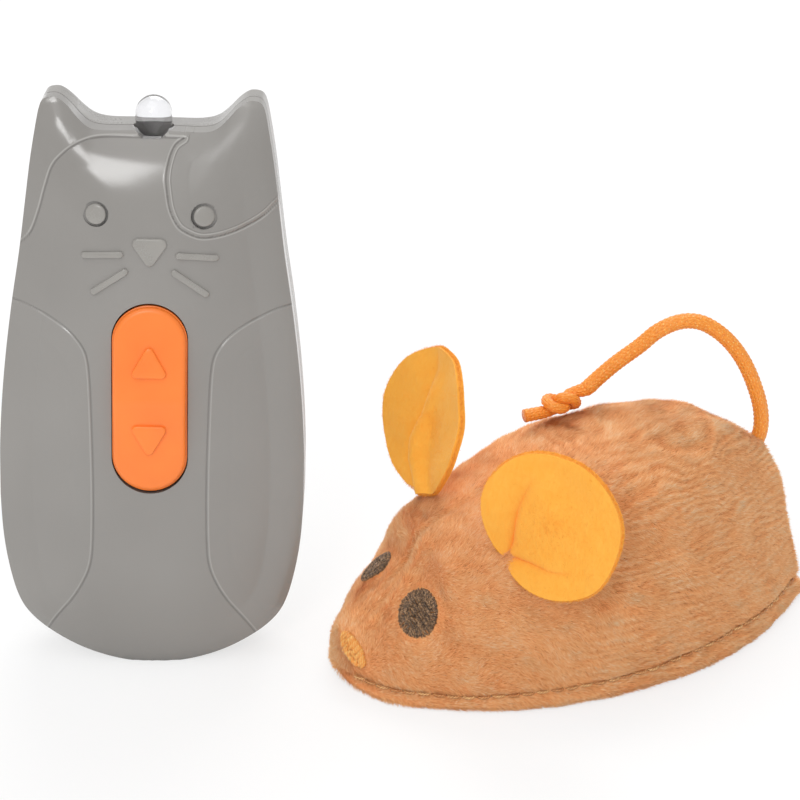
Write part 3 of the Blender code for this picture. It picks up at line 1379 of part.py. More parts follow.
def build_back_shell():
    shell = add("back_shell", half_shell(case_back_depth, case_back_side, case_back_round, 1), grey_abs, handset_frame)
    bay_low = handset_bay_bottom - handset_bay_wall
    bay_high = handset_bay_bottom + handset_bay_length + handset_bay_wall
    bay_half = handset_bay_half_width + handset_bay_wall
    tub = block((-bay_half, handset_bay_front - handset_bay_wall, bay_low),
                (bay_half, case_back_depth - case_wall * 0.5, bay_high))
    posts = [tilted_to_y(circle(case_screw_radius * 2.7, coarse_steps, spot), gap,
                         case_back_depth - case_wall * 0.6) for spot in case_screw_places]
    door_seat = case_back_depth - handset_door_thickness - gap
    rim = case_wall / 2
    ledge = block((-door_width / 2 - rim, door_seat - handset_bay_wall, door_bottom - rim),
                  (door_width / 2 + rim, case_back_depth - case_wall * 0.4, door_top + rim))
    weld(shell, add("bay_tub", merged([tub] + posts), grey_abs, handset_frame),
         add("ledge_tool", ledge, grey_abs, handset_frame))
    bay = block((-handset_bay_half_width, handset_bay_front, handset_bay_bottom),
                (handset_bay_half_width, case_back_depth + overrun, handset_bay_bottom + handset_bay_length))
    recess_corners = rectangle(door_width + 2 * gap, door_top - door_bottom + 2 * gap,
                               (0, (door_top + door_bottom) / 2))
    recess = tilted_to_y(rounded(recess_corners, door_corner + gap, 3), door_seat, case_back_depth + overrun)
    holes = [tilted_to_y(circle(case_screw_radius + pin_gap, 12, spot), -overrun, case_back_depth + overrun)
             for spot in case_screw_places]
    sinks = [tilted_to_y(circle(case_screw_radius * 1.8 + gap, coarse_steps, spot), head_seat,
                         case_back_depth + overrun) for spot in case_screw_places]
    door_pilot = tilted_to_y(circle(door_screw_radius + running_gap, 12, (0, door_screw_height)),
                             door_seat - overrun * 2, door_seat + overrun)
    cut(shell, add("bay_room", bay, grey_abs, handset_frame),
        add("door_seat_tool", recess, grey_abs, handset_frame),
        add("back_holes", merged(holes + [door_pilot]), grey_abs, handset_frame),
        add("back_sinks", merged(sinks), grey_abs, handset_frame), led_bore, floor_tool)
    return shell


head_seat = 8.4 * mm


def build_case_screws():
    # A screw's shank runs towards the face, so its local +Z is the case's +Y
    turn = Matrix.Rotation(-pi / 2, 3, 'X')
    names = ("low_left", "low_right", "high_left", "high_right")
    for name, (x, z) in zip(names, case_screw_places):
        screw("case_screw_" + name, case_screw_radius, case_screw_length, handset_frame,
              (x, head_seat + gap, z), turn)


def build_handset_door():
    centre = (0, (door_top + door_bottom) / 2)
    corners = rectangle(door_width, door_top - door_bottom, centre)
    low = case_back_depth - handset_door_thickness
    door = add("handset_battery_door", tilted_to_y(rounded(corners, door_corner, 3), low, case_back_depth),
               grey_abs, handset_frame)
    grip_width, grip_height, grip_depth, grip_rise = 12.0 * mm, 1.2 * mm, 0.6 * mm, 4.0 * mm
    grips = []
    for k in range(3):
        z = door_bottom + grip_rise + k * 2 * grip_height
        grips.append(tilted_to_y(rectangle(grip_width, grip_height, (0, z)), case_back_depth - grip_depth,
                                 case_back_depth + overrun))
    cut(door, add("door_grips", merged(grips), grey_abs, handset_frame))
    hole = tilted_to_y(circle(door_screw_radius + pin_gap, 12, (0, door_screw_height)), low - overrun,
                       case_back_depth + overrun)
    seat = case_back_depth - door_screw_radius * screw_head_share - running_gap
    sink = tilted_to_y(circle(door_screw_radius * 1.8 + pin_gap, coarse_steps, (0, door_screw_height)),
                       seat, case_back_depth + overrun)
    cut(door, add("door_hole", hole, grey_abs, handset_frame), add("door_sink", sink, grey_abs, handset_frame))
    screw("handset_door_screw", door_screw_radius, door_screw_length, handset_frame,
          (0, seat + running_gap / 2, door_screw_height), Matrix.Rotation(-pi / 2, 3, 'X'))


arrow_width, arrow_height = 6.4 * mm, 5.6 * mm
arrow_line, arrow_raise, arrow_corner = 7.3 * mm, 0.4 * mm, 0.8 * mm


def build_rocker():
    end_depth = case_front_depth + rocker_end_rise - rocker_axis_depth
    crest_depth = case_front_depth + rocker_crest_rise - rocker_axis_depth
    back = rocker_axis_depth - rocker_back_depth
    radius = rocker_width / 2
    rise = rocker_half - radius

    def crest(z):
        return crest_depth - (crest_depth - end_depth) * abs(z) / rocker_half

    turns = [radians(a) for a in (82, 66, 48, 30, 14, 0)]
    upper = [(rise + radius * sin(a), radius * cos(a)) for a in turns] + [(arrow_line, radius), (0, radius)]
    rows = upper + [(-z, w) for z, w in reversed(upper[:-1])]
    rings = []
    for z, w in rows:
        top = crest(z)
        edge = min(rocker_edge, w * 0.5)
        half_edge = edge * 0.3
        rings.append([Vector((-w, back, z)), Vector((w, back, z)), Vector((w, -top + edge, z)),
                      Vector((w - half_edge, -top + half_edge, z)), Vector((w - edge, -top, z)),
                      Vector((-w + edge, -top, z)), Vector((-w + half_edge, -top + half_edge, z)),
                      Vector((-w, -top + edge, z))])
    place = (0, -rocker_axis_depth, rocker_centre_height)
    rocker = add("rocker_button", loft(rings), orange_abs, handset_frame, place)
    slope = atan((crest_depth - end_depth) / rocker_half)
    arrows = []
    for side in (-1, 1):
        flat = triangle(arrow_width, arrow_height, (0, 0), side > 0, arrow_corner)
        arrow = tilted_to_y(flat, -arrow_raise, arrow_raise * 2)
        move = Matrix.Translation((0, -crest(arrow_line), side * arrow_line))
        bmesh.ops.transform(arrow, matrix=move @ Matrix.Rotation(-side * slope, 4, 'X'), verts=arrow.verts)
        arrows.append(arrow)
    pins = []
    for side in (-1, 1):
        pin = prism(circle(rocker_pin_radius, coarse_steps), rocker_width / 2 - rocker_edge,
                    rocker_width / 2 + rocker_pin_length)
        bmesh.ops.rotate(pin, matrix=Matrix.Rotation(side * pi / 2, 3, 'Y'), verts=pin.verts)
        pins.append(pin)
    weld(rocker, add("rocker_arrows", merged(arrows + pins), orange_abs, handset_frame, place))


def build_handset_electronics():
    centre_z = (handset_board_bottom + handset_board_top) / 2
    corners = rectangle(2 * handset_board_half_width, handset_board_top - handset_board_bottom, (0, centre_z))
    board_back = handset_board_front + board_thickness
    add("handset_circuit_board", tilted_to_y(rounded(corners, handset_board_corner, 2), handset_board_front, board_back),
        green_board, handset_frame)
    pad_face = handset_board_front - gap
    pad_width, pad_height = rocker_width + 2 * keypad_margin, rocker_length
    pad = rounded(rectangle(pad_width, pad_height, (0, rocker_centre_height)), keypad_corner, 3)
    keypad = add("rubber_keypad", tilted_to_y(pad, pad_face - keypad_thickness, pad_face), grey_rubber,
                 handset_frame)
    dome_reach = rocker_half * 0.66
    dome_base, dome_top = 3.4 * mm, 2.2 * mm
    domes = []
    for side in (-1, 1):
        profile = [(0, -gap), (dome_base, -gap), (dome_base, 0), (dome_top, keypad_dome_height - gap),
                   (dome_top * 0.7, keypad_dome_height), (0, keypad_dome_height)]
        dome = turned(profile, coarse_steps)
        place = Matrix.Translation((0, pad_face - keypad_thickness, rocker_centre_height + side * dome_reach))
        bmesh.ops.transform(dome, matrix=place @ Matrix.Rotation(pi / 2, 4, 'X'), verts=dome.verts)
        domes.append(dome)
    weld(keypad, add("keypad_domes", merged(domes), grey_rubber, handset_frame))

    flange = led_radius * 1.12
    arc = [pi / 2 * k / 6 for k in range(6)]
    shoulder = led_top - led_radius
    flange_top = led_base + led_flange_thickness
    profile = [(0, led_base), (flange, led_base), (flange, flange_top), (led_radius, flange_top)]
    profile += [(led_radius * cos(a), shoulder + led_radius * sin(a)) for a in arc] + [(0, led_top)]
    led = add("ir_led", turned(profile, fine_steps), clear_epoxy, handset_frame)
    lead = led_lead_half_width
    leads = []
    for side in (-1, 1):
        x = side * led_lead_offset
        leads.append(block((x - lead, -lead, led_base - led_lead_length), (x + lead, lead, led_base + gap)))
    weld(led, add("led_leads", merged(leads), bright_steel, handset_frame))


def build_handset_power():
    bay_top = handset_bay_bottom + handset_bay_length
    middle = handset_bay_bottom + handset_bay_length / 2
    cap_height, cap_radius = 0.9 * mm, 1.9 * mm
    body = cell_length - cap_height
    edge = 0.4 * mm
    profile = [(0, -cell_length / 2), (cell_radius - edge, -cell_length / 2), (cell_radius, -cell_length / 2 + edge),
               (cell_radius, -cell_length / 2 + body - edge), (cell_radius - edge, -cell_length / 2 + body),
               (cap_radius, -cell_length / 2 + body), (cap_radius, cell_length / 2), (0, cell_length / 2)]
    plate = gap
    half = cell_radius * 0.72
    side_step = cell_radius + gap
    for name, side in (("left", -1), ("right", 1)):
        turn = Matrix.Rotation(0 if side < 0 else pi, 3, 'X')
        add("handset_cell_" + name, turned(profile, coarse_steps), cell_jacket, handset_frame,
            (side * side_step, cell_depth, middle), turn)
        low = bay_top - gap - plate
        plate_shape = block((side * side_step - half, cell_depth - half, low),
                            (side * side_step + half, cell_depth + half, low + plate))
        add("handset_contact_" + ("plus" if side < 0 else "minus"), plate_shape, bright_steel, handset_frame)
    bridge = block((-side_step - half, cell_depth - half, handset_bay_bottom + gap),
                   (side_step + half, cell_depth + half, handset_bay_bottom + gap + plate))
    add("handset_contact_bridge", bridge, bright_steel, handset_frame)
    room = (handset_bay_length - cell_length) / 2 - 4 * gap
    low_spot = (-side_step, cell_depth, handset_bay_bottom + 3 * gap)
    high_spot = (side_step, cell_depth, bay_top - 3 * gap)
    spiral_spring("handset_spring_low", cell_radius * 0.66, cell_radius * 0.27, room, spring_wire, handset_frame,
                  low_spot, Matrix.Identity(3))
    spiral_spring("handset_spring_high", cell_radius * 0.66, cell_radius * 0.27, room, spring_wire, handset_frame,
                  high_spot, Matrix.Rotation(pi, 3, 'X'))


# Assembly

foot_up = handset_turn.inverted() @ Vector((0, 0, 1))
foot_lift = foot_cut * foot_up.z
handset_frame.location.z = -foot_lift
floor_half = handset_width
floor_tool = add("floor_tool", block((-floor_half, -floor_half, -floor_half), (floor_half, floor_half, 0)),
                 grey_abs, set_frame, (handset_foot_x, handset_foot_y, 0))
led_bore = add("led_bore", prism(circle(led_radius + gap, fine_steps), led_base + led_seat_rise, led_top + overrun),
               grey_abs, handset_frame)

build_plush_body()
build_thread_patches()
build_ears()
build_tail()
build_tray()
build_lid()
build_chassis_screws()
build_mouse_power()
build_gears()
build_motor()
build_axle()
build_caster()
build_mouse_electronics()
build_front_shell()
build_back_shell()
build_case_screws()
build_handset_door()
build_rocker()
build_handset_electronics()
build_handset_power()


def centre_the_set():
    """Move the set so that the middle of its footprint, without the free tail, is the origin."""
    bpy.context.view_layer.update()
    graph = bpy.context.evaluated_depsgraph_get()
    low = Vector((mouse_length, mouse_length, mouse_length)) * 9
    high = -low
    for item in bpy.data.objects:
        if item.type != 'MESH' or item.hide_render or item.name == "tail_knot":
            continue
        solid = item.evaluated_get(graph)
        for vertex in solid.data.vertices:
            spot = solid.matrix_world @ vertex.co
            low = Vector(map(min, low, spot))
            high = Vector(map(max, high, spot))
    set_frame.location = (-(low.x + high.x) / 2, -(low.y + high.y) / 2, 0)
    bpy.context.view_layer.update()


centre_the_set()
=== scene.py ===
import bpy
import bmesh
import numpy as np
from math import cos, pi, radians, sin, sqrt
from mathutils import Matrix, Vector


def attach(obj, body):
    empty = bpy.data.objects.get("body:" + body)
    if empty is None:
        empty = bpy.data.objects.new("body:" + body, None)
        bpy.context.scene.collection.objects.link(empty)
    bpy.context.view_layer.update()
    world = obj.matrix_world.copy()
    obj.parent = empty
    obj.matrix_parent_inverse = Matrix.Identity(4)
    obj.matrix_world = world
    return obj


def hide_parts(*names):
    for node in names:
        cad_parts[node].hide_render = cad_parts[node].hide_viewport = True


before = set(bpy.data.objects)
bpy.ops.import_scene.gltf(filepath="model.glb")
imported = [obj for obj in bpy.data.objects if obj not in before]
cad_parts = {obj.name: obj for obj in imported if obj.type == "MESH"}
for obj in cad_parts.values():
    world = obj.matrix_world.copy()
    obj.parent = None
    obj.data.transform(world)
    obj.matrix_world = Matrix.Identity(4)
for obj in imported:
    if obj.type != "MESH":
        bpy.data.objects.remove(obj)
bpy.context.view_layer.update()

mm = 0.001
stage = bpy.context.scene
stage.view_settings.view_transform = "Standard"


# Camera. The mouse is seen from its front left and a little above, through a long lens,
# and the handset's face looks almost straight at it.
eye_place = Vector((-201.75, -482.95, 312.0)) * mm
eye_aim = Vector((0.3384, 0.8264, -0.4499))
camera_data = bpy.data.cameras.new("photo_camera")
camera_data.lens = 147.15
camera_data.sensor_width = 36.0
camera_data.clip_start = 0.01
camera = bpy.data.objects.new("photo_camera", camera_data)
camera.location = eye_place
camera.rotation_euler = eye_aim.to_track_quat("-Z", "Y").to_euler()
stage.collection.objects.link(camera)
stage.camera = camera


# Floor and light. A white sweep under two large soft boxes and an even white room. Lookers see
# the sweep as white paper, and the toys' shadows stay on it.
class Reading:
    """A number that changes over a surface. A sum written with it adds its Math nodes."""

    def __init__(self, finish, socket):
        self.finish, self.socket = finish, socket

    def sum(self, operation, *others):
        return self.finish.add("ShaderNodeMath", {"operation": operation}, dict(enumerate(others)))

    def __add__(self, other): return self.sum("ADD", self, other)
    def __sub__(self, other): return self.sum("SUBTRACT", self, other)
    def __mul__(self, other): return self.sum("MULTIPLY", self, other)
    def __abs__(self): return self.sum("ABSOLUTE", self)


class Finish:
    """One material: its shader, whose plain settings are given first, and its nodes."""

    def __init__(self, name, **plain):
        self.material = bpy.data.materials.new(name)
        self.material.use_nodes = True
        self.tree = self.material.node_tree
        self.shader = next(n for n in self.tree.nodes if n.type == "BSDF_PRINCIPLED")
        self.output = next(n for n in self.tree.nodes if n.type == "OUTPUT_MATERIAL")
        for name, value in plain.items():
            self.shader.inputs[name.replace("_", " ")].default_value = value

    def add(self, kind, settings=None, sockets=None, out=0):
        node = self.tree.nodes.new(kind)
        for name, value in (settings or {}).items():
            if name == "stops":
                ramp = node.color_ramp.elements
                while len(ramp) < len(value):
                    ramp.new(0.5)
                for element, (place, colour) in zip(ramp, value):
                    element.position, element.color = place, colour
            else:
                setattr(node, name, value)
        for name, value in (sockets or {}).items():
            if isinstance(value, Reading):
                self.tree.links.new(value.socket, node.inputs[name])
            elif value is not None:
                node.inputs[name].default_value = value
        return Reading(self, node.outputs[out])

    def feed(self, socket, reading):
        self.tree.links.new(reading.socket, self.shader.inputs[socket])

    def told(self, name):
        """What a mesh stores at its points under that name."""
        return self.add("ShaderNodeAttribute", {"attribute_name": name}, out="Fac")

    def grain(self, size, detail=2.0, rough=0.5, stretch=None):
        """Soft noise from 0 to 1 whose lumps are about that size."""
        spot = self.add("ShaderNodeTexCoord", out="Object")
        if stretch:
            spot = self.add("ShaderNodeVectorMath", {"operation": "MULTIPLY"}, {0: spot, 1: stretch})
        return self.add("ShaderNodeTexNoise", sockets={"Vector": spot, "Scale": 1 / size, "Detail": detail,
                                                       "Roughness": rough})

    def blend(self, share, one, other):
        """A colour between two others."""
        return self.add("ShaderNodeMix", {"data_type": "RGBA"}, {0: share, 6: one, 7: other}, out=2)

    def ramp(self, share, *stops):
        return self.add("ShaderNodeValToRGB", {"stops": stops}, {0: share})

    def relief(self, height, strength=1.0, distance=1.0):
        """Bump from a height. Distance is the metres that a height of 1 stands."""
        return self.add("ShaderNodeBump", {}, {"Height": height, "Strength": strength, "Distance": distance})

    def clamp(self, reading, low=0.0, high=1.0, to_low=0.0, to_high=1.0):
        """A reading drawn from one range to another and kept in it."""
        ranges = {0: reading, 1: low, 2: high, 3: to_low, 4: to_high}
        return self.add("ShaderNodeMapRange", {"clamp": True}, ranges)


def seen(red, green, blue):
    """A colour as the eye reads it, 0 to 255, turned to light."""
    return (*(((c / 255 + 0.055) / 1.055) ** 2.4 for c in (red, green, blue)), 1.0)


def clear_choice():
    """Leaves edit mode with nothing chosen."""
    if bpy.context.object and bpy.context.object.mode != "OBJECT":
        bpy.ops.object.mode_set(mode="OBJECT")
    bpy.ops.object.select_all(action="DESELECT")


clear_choice()
bpy.ops.mesh.primitive_grid_add(x_subdivisions=8, y_subdivisions=8, size=5)
sweep = bpy.context.object
sweep.name = "white_sweep"
paper = Finish("sweep_paper", Base_Color=(0.95, 0.95, 0.95, 1), Roughness=0.9)
paper_glow = paper.add("ShaderNodeEmission", {}, {"Color": (1, 1, 1, 1), "Strength": 1.0})
paper_path = paper.add("ShaderNodeLightPath", out="Is Camera Ray")
paper_mix = paper.add("ShaderNodeMixShader", {}, {0: paper_path * 0.7, 2: paper_glow,
                                                  1: Reading(paper, paper.shader.outputs[0])})
paper.tree.links.new(paper_mix.socket, paper.output.inputs["Surface"])
sweep.data.materials.append(paper.material)

room = bpy.data.worlds.new("white_room")
stage.world = room
room.use_nodes = True
room_nodes, room_links = room.node_tree.nodes, room.node_tree.links
room_air = next(n for n in room_nodes if n.type == "BACKGROUND")
room_air.inputs["Color"].default_value = (1, 1, 1, 1)
room_air.inputs["Strength"].default_value = 0.62
room_white = room_nodes.new("ShaderNodeBackground")
room_white.inputs["Strength"].default_value = 1.0
room_path = room_nodes.new("ShaderNodeLightPath")
room_mix = room_nodes.new("ShaderNodeMixShader")
room_out = next(n for n in room_nodes if n.type == "OUTPUT_WORLD")
room_seen = room_nodes.new("ShaderNodeMath")
room_seen.operation = "MAXIMUM"
room_links.new(room_path.outputs["Is Camera Ray"], room_seen.inputs[0])
room_links.new(room_path.outputs["Is Transmission Ray"], room_seen.inputs[1])
room_links.new(room_seen.outputs[0], room_mix.inputs[0])
room_links.new(room_air.outputs[0], room_mix.inputs[1])
room_links.new(room_white.outputs[0], room_mix.inputs[2])
room_links.new(room_mix.outputs[0], room_out.inputs["Surface"])


def soft_box(name, place, aim, width, height, power, roll=0.0):
    """A rectangular studio lamp, turned to what it lights."""
    lamp = bpy.data.lights.new(name, "AREA")
    lamp.shape, lamp.size, lamp.size_y, lamp.energy = "RECTANGLE", width, height, power
    box = bpy.data.objects.new(name, lamp)
    box.location = place
    facing = (Vector(aim) - Vector(place)).to_track_quat("-Z", "Y").to_matrix()
    box.rotation_euler = (facing @ Matrix.Rotation(roll, 3, "Z")).to_euler()
    stage.collection.objects.link(box)


soft_box("window_box", (-0.588, -0.774, 0.718), (-0.03, 0.0, 0.09), 0.25, 0.36, 3.2, radians(-22))
soft_box("top_box", (-0.35, -0.25, 1.25), (0.0, 0.0, 0.04), 1.1, 1.1, 3.6)
soft_box("rear_box", (0.45, 0.85, 1.05), (0.02, 0.0, 0.04), 1.0, 0.7, 9.5)


# Plush skin. Short-pile velboa sewn from two halves along the back, stuffed with a little wadding
# and pulled over the chassis, its raw edge turned under in a hem.
mouse_offset = np.array((-20.946, -8.353, 0.0)) * mm
mouse_length, mouse_half_width, mouse_height, hem_clearance = 92.4 * mm, 26.5 * mm, 41.3 * mm, 0.4 * mm
# each section's place along the mouse, half width, height and lean, as shares of the whole
body_sections = np.array(((0.0, .24, .235, 0.0), (.04, .44, .34, .030), (.12, .64, .48, .021),
                          (.25, .85, .68, -.045), (.40, 1.0, .82, -.045), (.55, .99, .945, -.061),
                          (.70, .90, 1.0, -.071), (.83, .71, .985, -.090), (.93, .46, .92, -.092),
                          (1.0, .26, .795, -.077)))


def section_value(at, column):
    """A column of the sections between its rows, on a smooth curve that never overshoots."""
    xs, ys = body_sections[:, 0], body_sections[:, column]
    slopes = np.diff(ys) / np.diff(xs)
    before, ahead = slopes[:-1], slopes[1:]
    both = np.where(before + ahead == 0, 1, before + ahead)
    middle = np.where(before * ahead > 0, 2 * before * ahead / both, 0)
    tangents = np.concatenate([slopes[:1], middle, slopes[-1:]])
    i = np.clip(np.searchsorted(xs, at) - 1, 0, len(xs) - 2)
    width = xs[i + 1] - xs[i]
    t = (at - xs[i]) / width
    return (ys[i] * (1 + 2 * t) * (1 - t) ** 2 + tangents[i] * width * t * (1 - t) ** 2
            + ys[i + 1] * t * t * (3 - 2 * t) - tangents[i + 1] * width * t * t * (1 - t))


def skin_spot(station, turn):
    """The skin's plain form. Stations under 0 and over 1 round off the snout and the rump."""
    station, turn = np.broadcast_arrays(np.asarray(station, float), np.asarray(turn, float))
    inside = np.clip(station, 0, 1)
    over = np.clip(np.maximum(-station, station - 1), 0, 1)
    swell = np.where(station < 0, 1 - over ** 1.25, np.sqrt(np.clip(1 - over ** 2, 0, 1)))
    reach = np.where(station < 0, -1.0 * mm, 1.3 * mm) * np.sin(over * pi / 2)
    reach = reach + 1.7 * mm * np.clip(1 - inside / 0.08, 0, 1)
    half_width = mouse_half_width * section_value(inside, 1) * swell
    height = (mouse_height - hem_clearance) * section_value(inside, 2)
    lean = mouse_length * section_value(inside, 3)
    blend = np.minimum(1, inside / 0.45)
    across = np.cos(turn)
    rise = np.clip(np.sin(turn), 0, 1) ** (0.90 - 0.06 * blend)
    middle = np.where(station < 0, 0.08, 0.04)
    lift = height * np.where(over > 0, middle + (rise - middle) * swell, rise)
    x = mouse_length * inside + reach + lean * lift / np.maximum(height, 1e-6)
    y = -half_width * np.abs(across) ** (1.02 - 0.29 * blend) * np.sign(across)
    return np.stack([x, y, hem_clearance + lift], -1) + mouse_offset


def ripple(points, size, seed, waves=28):
    """A smooth random field over space, about -1 to 1, with lumps of that size."""
    dice = np.random.default_rng(seed)
    ways = dice.normal(size=(waves, 3))
    ways *= (2 * pi / size) * (0.6 + 0.6 * dice.random((waves, 1))) / np.linalg.norm(ways, axis=1, keepdims=True)
    total = np.zeros(points.shape[:-1])
    for way, phase in zip(ways, dice.random(waves) * 2 * pi):
        total += np.sin(points @ way + phase)
    return total / sqrt(waves)


def hem_line(station):
    """Height of the hem's stitches above the floor."""
    return np.interp(station, (0.0, 0.2, 0.4, 0.6, 0.8, 1.0), (2.8, 3.0, 3.7, 4.2, 4.7, 4.2)) * mm


def core_of(spots):
    """The nearest place to each spot on the line that the skin is wrapped round."""
    core = spots * (1.0, 0.0, 0.0) + (0.0, mouse_offset[1], 8 * mm)
    core[..., 0] = np.clip(core[..., 0], mouse_offset[0] + 14 * mm, mouse_offset[0] + 80 * mm)
    return core


# folds that run up from the nose, one each side of a ridge: start, end and depth
nose_folds = (((2.6, -2.9, 10.3), (12.8, -2.4, 19.7), 0.85), ((3.7, -6.3, 9.3), (8.8, -4.5, 15.9), 0.7),
              ((2.0, 3.0, 10.0), (11.0, 2.8, 18.4), 0.5))


def sculpted(station, turn):
    """The skin with its seam, nose folds and hem, and the way outwards."""
    step = 1e-3
    spot = skin_spot(station, turn)
    behind = skin_spot(np.minimum(station + step, 1.999), turn)
    over_x = behind - skin_spot(np.maximum(station - step, -0.999), turn)
    over_y = skin_spot(station, np.minimum(turn + step, pi)) - skin_spot(station, np.maximum(turn - step, 0))
    out = np.cross(over_y, over_x)
    out /= np.maximum(np.linalg.norm(out, axis=-1, keepdims=True), 1e-12)
    out *= np.sign(np.sum(out * (spot - core_of(spot)), -1, keepdims=True) + 1e-12)
    local = spot - mouse_offset
    inside = np.clip(station, 0, 1)
    push = -0.6 * mm + 0.32 * mm * ripple(spot, 22 * mm, 3) + 0.14 * mm * ripple(spot, 9 * mm, 4)
    flank = np.clip((inside - 0.36) / 0.15, 0, 1)
    push += 0.06 * mm * flank * ripple(spot * (0.25, 0.25, 1.0), 1.9 * mm, 5)
    push += 0.05 * mm * ripple(spot, 3.4 * mm, 6)
    # the seam down the middle of the back, deepest between nose and ears, and a fold beside it
    seam = np.exp(-(local[..., 1] / (0.9 * mm)) ** 2) * np.exp(-((inside - 0.17) / 0.16) ** 2)
    fold = np.exp(-((local[..., 1] + 3.4 * mm - 8 * mm * (inside - 0.16)) / (1.5 * mm)) ** 2)
    fold *= np.exp(-((inside - 0.16) / 0.09) ** 2)
    behind_snout = np.clip((local[..., 0] - 4.5 * mm) / (4 * mm), 0, 1)
    push -= 1.1 * mm * seam * behind_snout
    push += 0.7 * mm * fold * behind_snout
    push -= 0.35 * mm * np.exp(-(local[..., 1] / (1.4 * mm)) ** 2) * (inside > 0.3)
    for start, end, deep in nose_folds:
        start, way = np.array(start) * mm, (np.array(end) - start) * mm
        share = np.clip(((local - start) @ way) / (way @ way), 0, 1)
        gap = np.linalg.norm(local - start - share[..., None] * way, axis=-1)
        push -= deep * mm * np.exp(-(gap / (1.1 * mm)) ** 2) * (0.1 + 0.9 * np.sin(pi * share))
        push += 0.35 * deep * mm * np.exp(-((gap - 2.2 * mm) / (1.2 * mm)) ** 2) * np.sin(pi * share)
    # the hem: drawn in at the stitches, full below them
    gap = local[..., 2] - hem_line(inside)
    push -= 0.55 * mm * np.exp(-(gap / (0.7 * mm)) ** 2) * np.clip(station / 0.02 + 1, 0.2, 1)
    push += 0.45 * mm * np.exp(-((gap + 1.9 * mm) / (1.2 * mm)) ** 2)
    tuck = np.clip(1 - local[..., 2] / (1.6 * mm), 0, 1)
    push -= 1.2 * mm * (1 - np.sqrt(np.clip(1 - tuck ** 2, 0, 1)))
    return spot + out * push[..., None], out


def ring_faces(rings, around):
    """Quads from ring to ring of points, each ring closed."""
    rows = np.arange(rings - 1)[:, None] * around
    cols = np.arange(around)[None, :]
    after = (cols + 1) % around
    return np.stack([rows + cols, rows + after, rows + around + after, rows + around + cols], -1).reshape(-1, 4)


def end_fans(rings, around):
    """Triangles that close the first ring and the last."""
    k = np.arange(1, around - 1)
    first, last = np.stack([0 * k, k + 1, k], 1), np.stack([0 * k, k, k + 1], 1)
    return np.concatenate([first, last + (rings - 1) * around])


stations = np.concatenate([-np.cos(np.linspace(0, pi / 2, 14))[:-1], np.linspace(0, 1, 250),
                           1 + np.sin(np.linspace(0, pi / 2, 16))[1:]])
turns = np.linspace(0, pi, 231)
outer, _ = sculpted(stations[:, None], turns[None, :])
# the underside: the hem's turned edge, and a well that the chassis fills
under = []
for ring, station in zip(outer, stations):
    inside = min(1, max(0, station))
    near, far = ring[0], ring[-1]
    spread = (far[1] - near[1]) / 2
    well = 18.0 * mm if 15.5 * mm < inside * mouse_length < 75.5 * mm else 0.0
    roof = (14.0 * mm + 7.5 * mm * (inside * mouse_length > 39 * mm)) if well else 1.4 * mm
    half = min(well, spread * 0.80) if well else spread * 0.6
    if well:
        limit = skin_spot(inside, 0.30 * pi)[2] - 2.0 * mm
        roof = min(roof, max(limit, 3 * mm))
    middle_y = (near[1] + far[1]) / 2
    x = near[0]
    shut = min(1, spread / (4 * mm))
    foot = near[2] + 0.1 * mm * shut
    base = near[2] + 1.0 * mm * shut
    roof = max(roof, base) if well else base
    hem_edge = max(half, spread * 0.7)
    under.append([(x, far[1] - 1.0 * mm * shut, foot), (x, middle_y + hem_edge, base),
                  (x, middle_y + half, base), (x, middle_y + half, roof), (x, middle_y + half * 0.5, roof),
                  (x, middle_y - half * 0.5, roof), (x, middle_y - half, roof), (x, middle_y - half, base),
                  (x, middle_y - hem_edge, base), (x, near[1] + 1.0 * mm * shut, foot)])
rings = np.concatenate([outer, np.array(under)], 1)
count, across = rings.shape[:2]
base_spots = rings.reshape(-1, 3)

# the three embroidered patches: station, turn, the way up, half height and half width
patches = {"eye_near": (0.118, 0.295 * pi, (2.8, 5.0, 6.6), 4.3 * mm, 3.9 * mm),
           "eye_far": (0.101, 0.648 * pi, (2.8, -5.0, 6.6), 4.0 * mm, 2.9 * mm),
           "nose_patch": (0.004, 0.250 * pi, (-0.16, 0.83, 0.55), 3.6 * mm, 1.6 * mm)}


def patch_frame(name):
    """A patch's centre on the skin with the ways outwards, up and to the right."""
    station, turn, up_way, _, _ = patches[name]
    spot, out = sculpted(np.array(station), np.array(turn))
    up = np.array(up_way) - out * (out @ np.array(up_way))
    up /= np.linalg.norm(up)
    return spot, out, up, np.cross(up, out)


# the pile: short blades that lie back from the nose and down the sides, brushed in patches
dice = np.random.default_rng(11)
blade_count = 340_000
corner = outer[:-1, :-1]
face_area = np.linalg.norm(np.cross(outer[1:, :-1] - corner, outer[:-1, 1:] - corner), axis=-1)
chance = np.cumsum(face_area.ravel()) / face_area.sum()
cell = np.searchsorted(chance, dice.random(blade_count))
row, col = np.divmod(cell, outer.shape[1] - 1)
row, col = np.minimum(row, outer.shape[0] - 2), np.minimum(col, outer.shape[1] - 2)
share_a, share_b = dice.random((2, blade_count, 1))


def on_skin(grid):
    """A grid's values at the blades' roots."""
    return ((grid[row, col] * (1 - share_a) + grid[row + 1, col] * share_a) * (1 - share_b)
            + (grid[row, col + 1] * (1 - share_a) + grid[row + 1, col + 1] * share_a) * share_b)


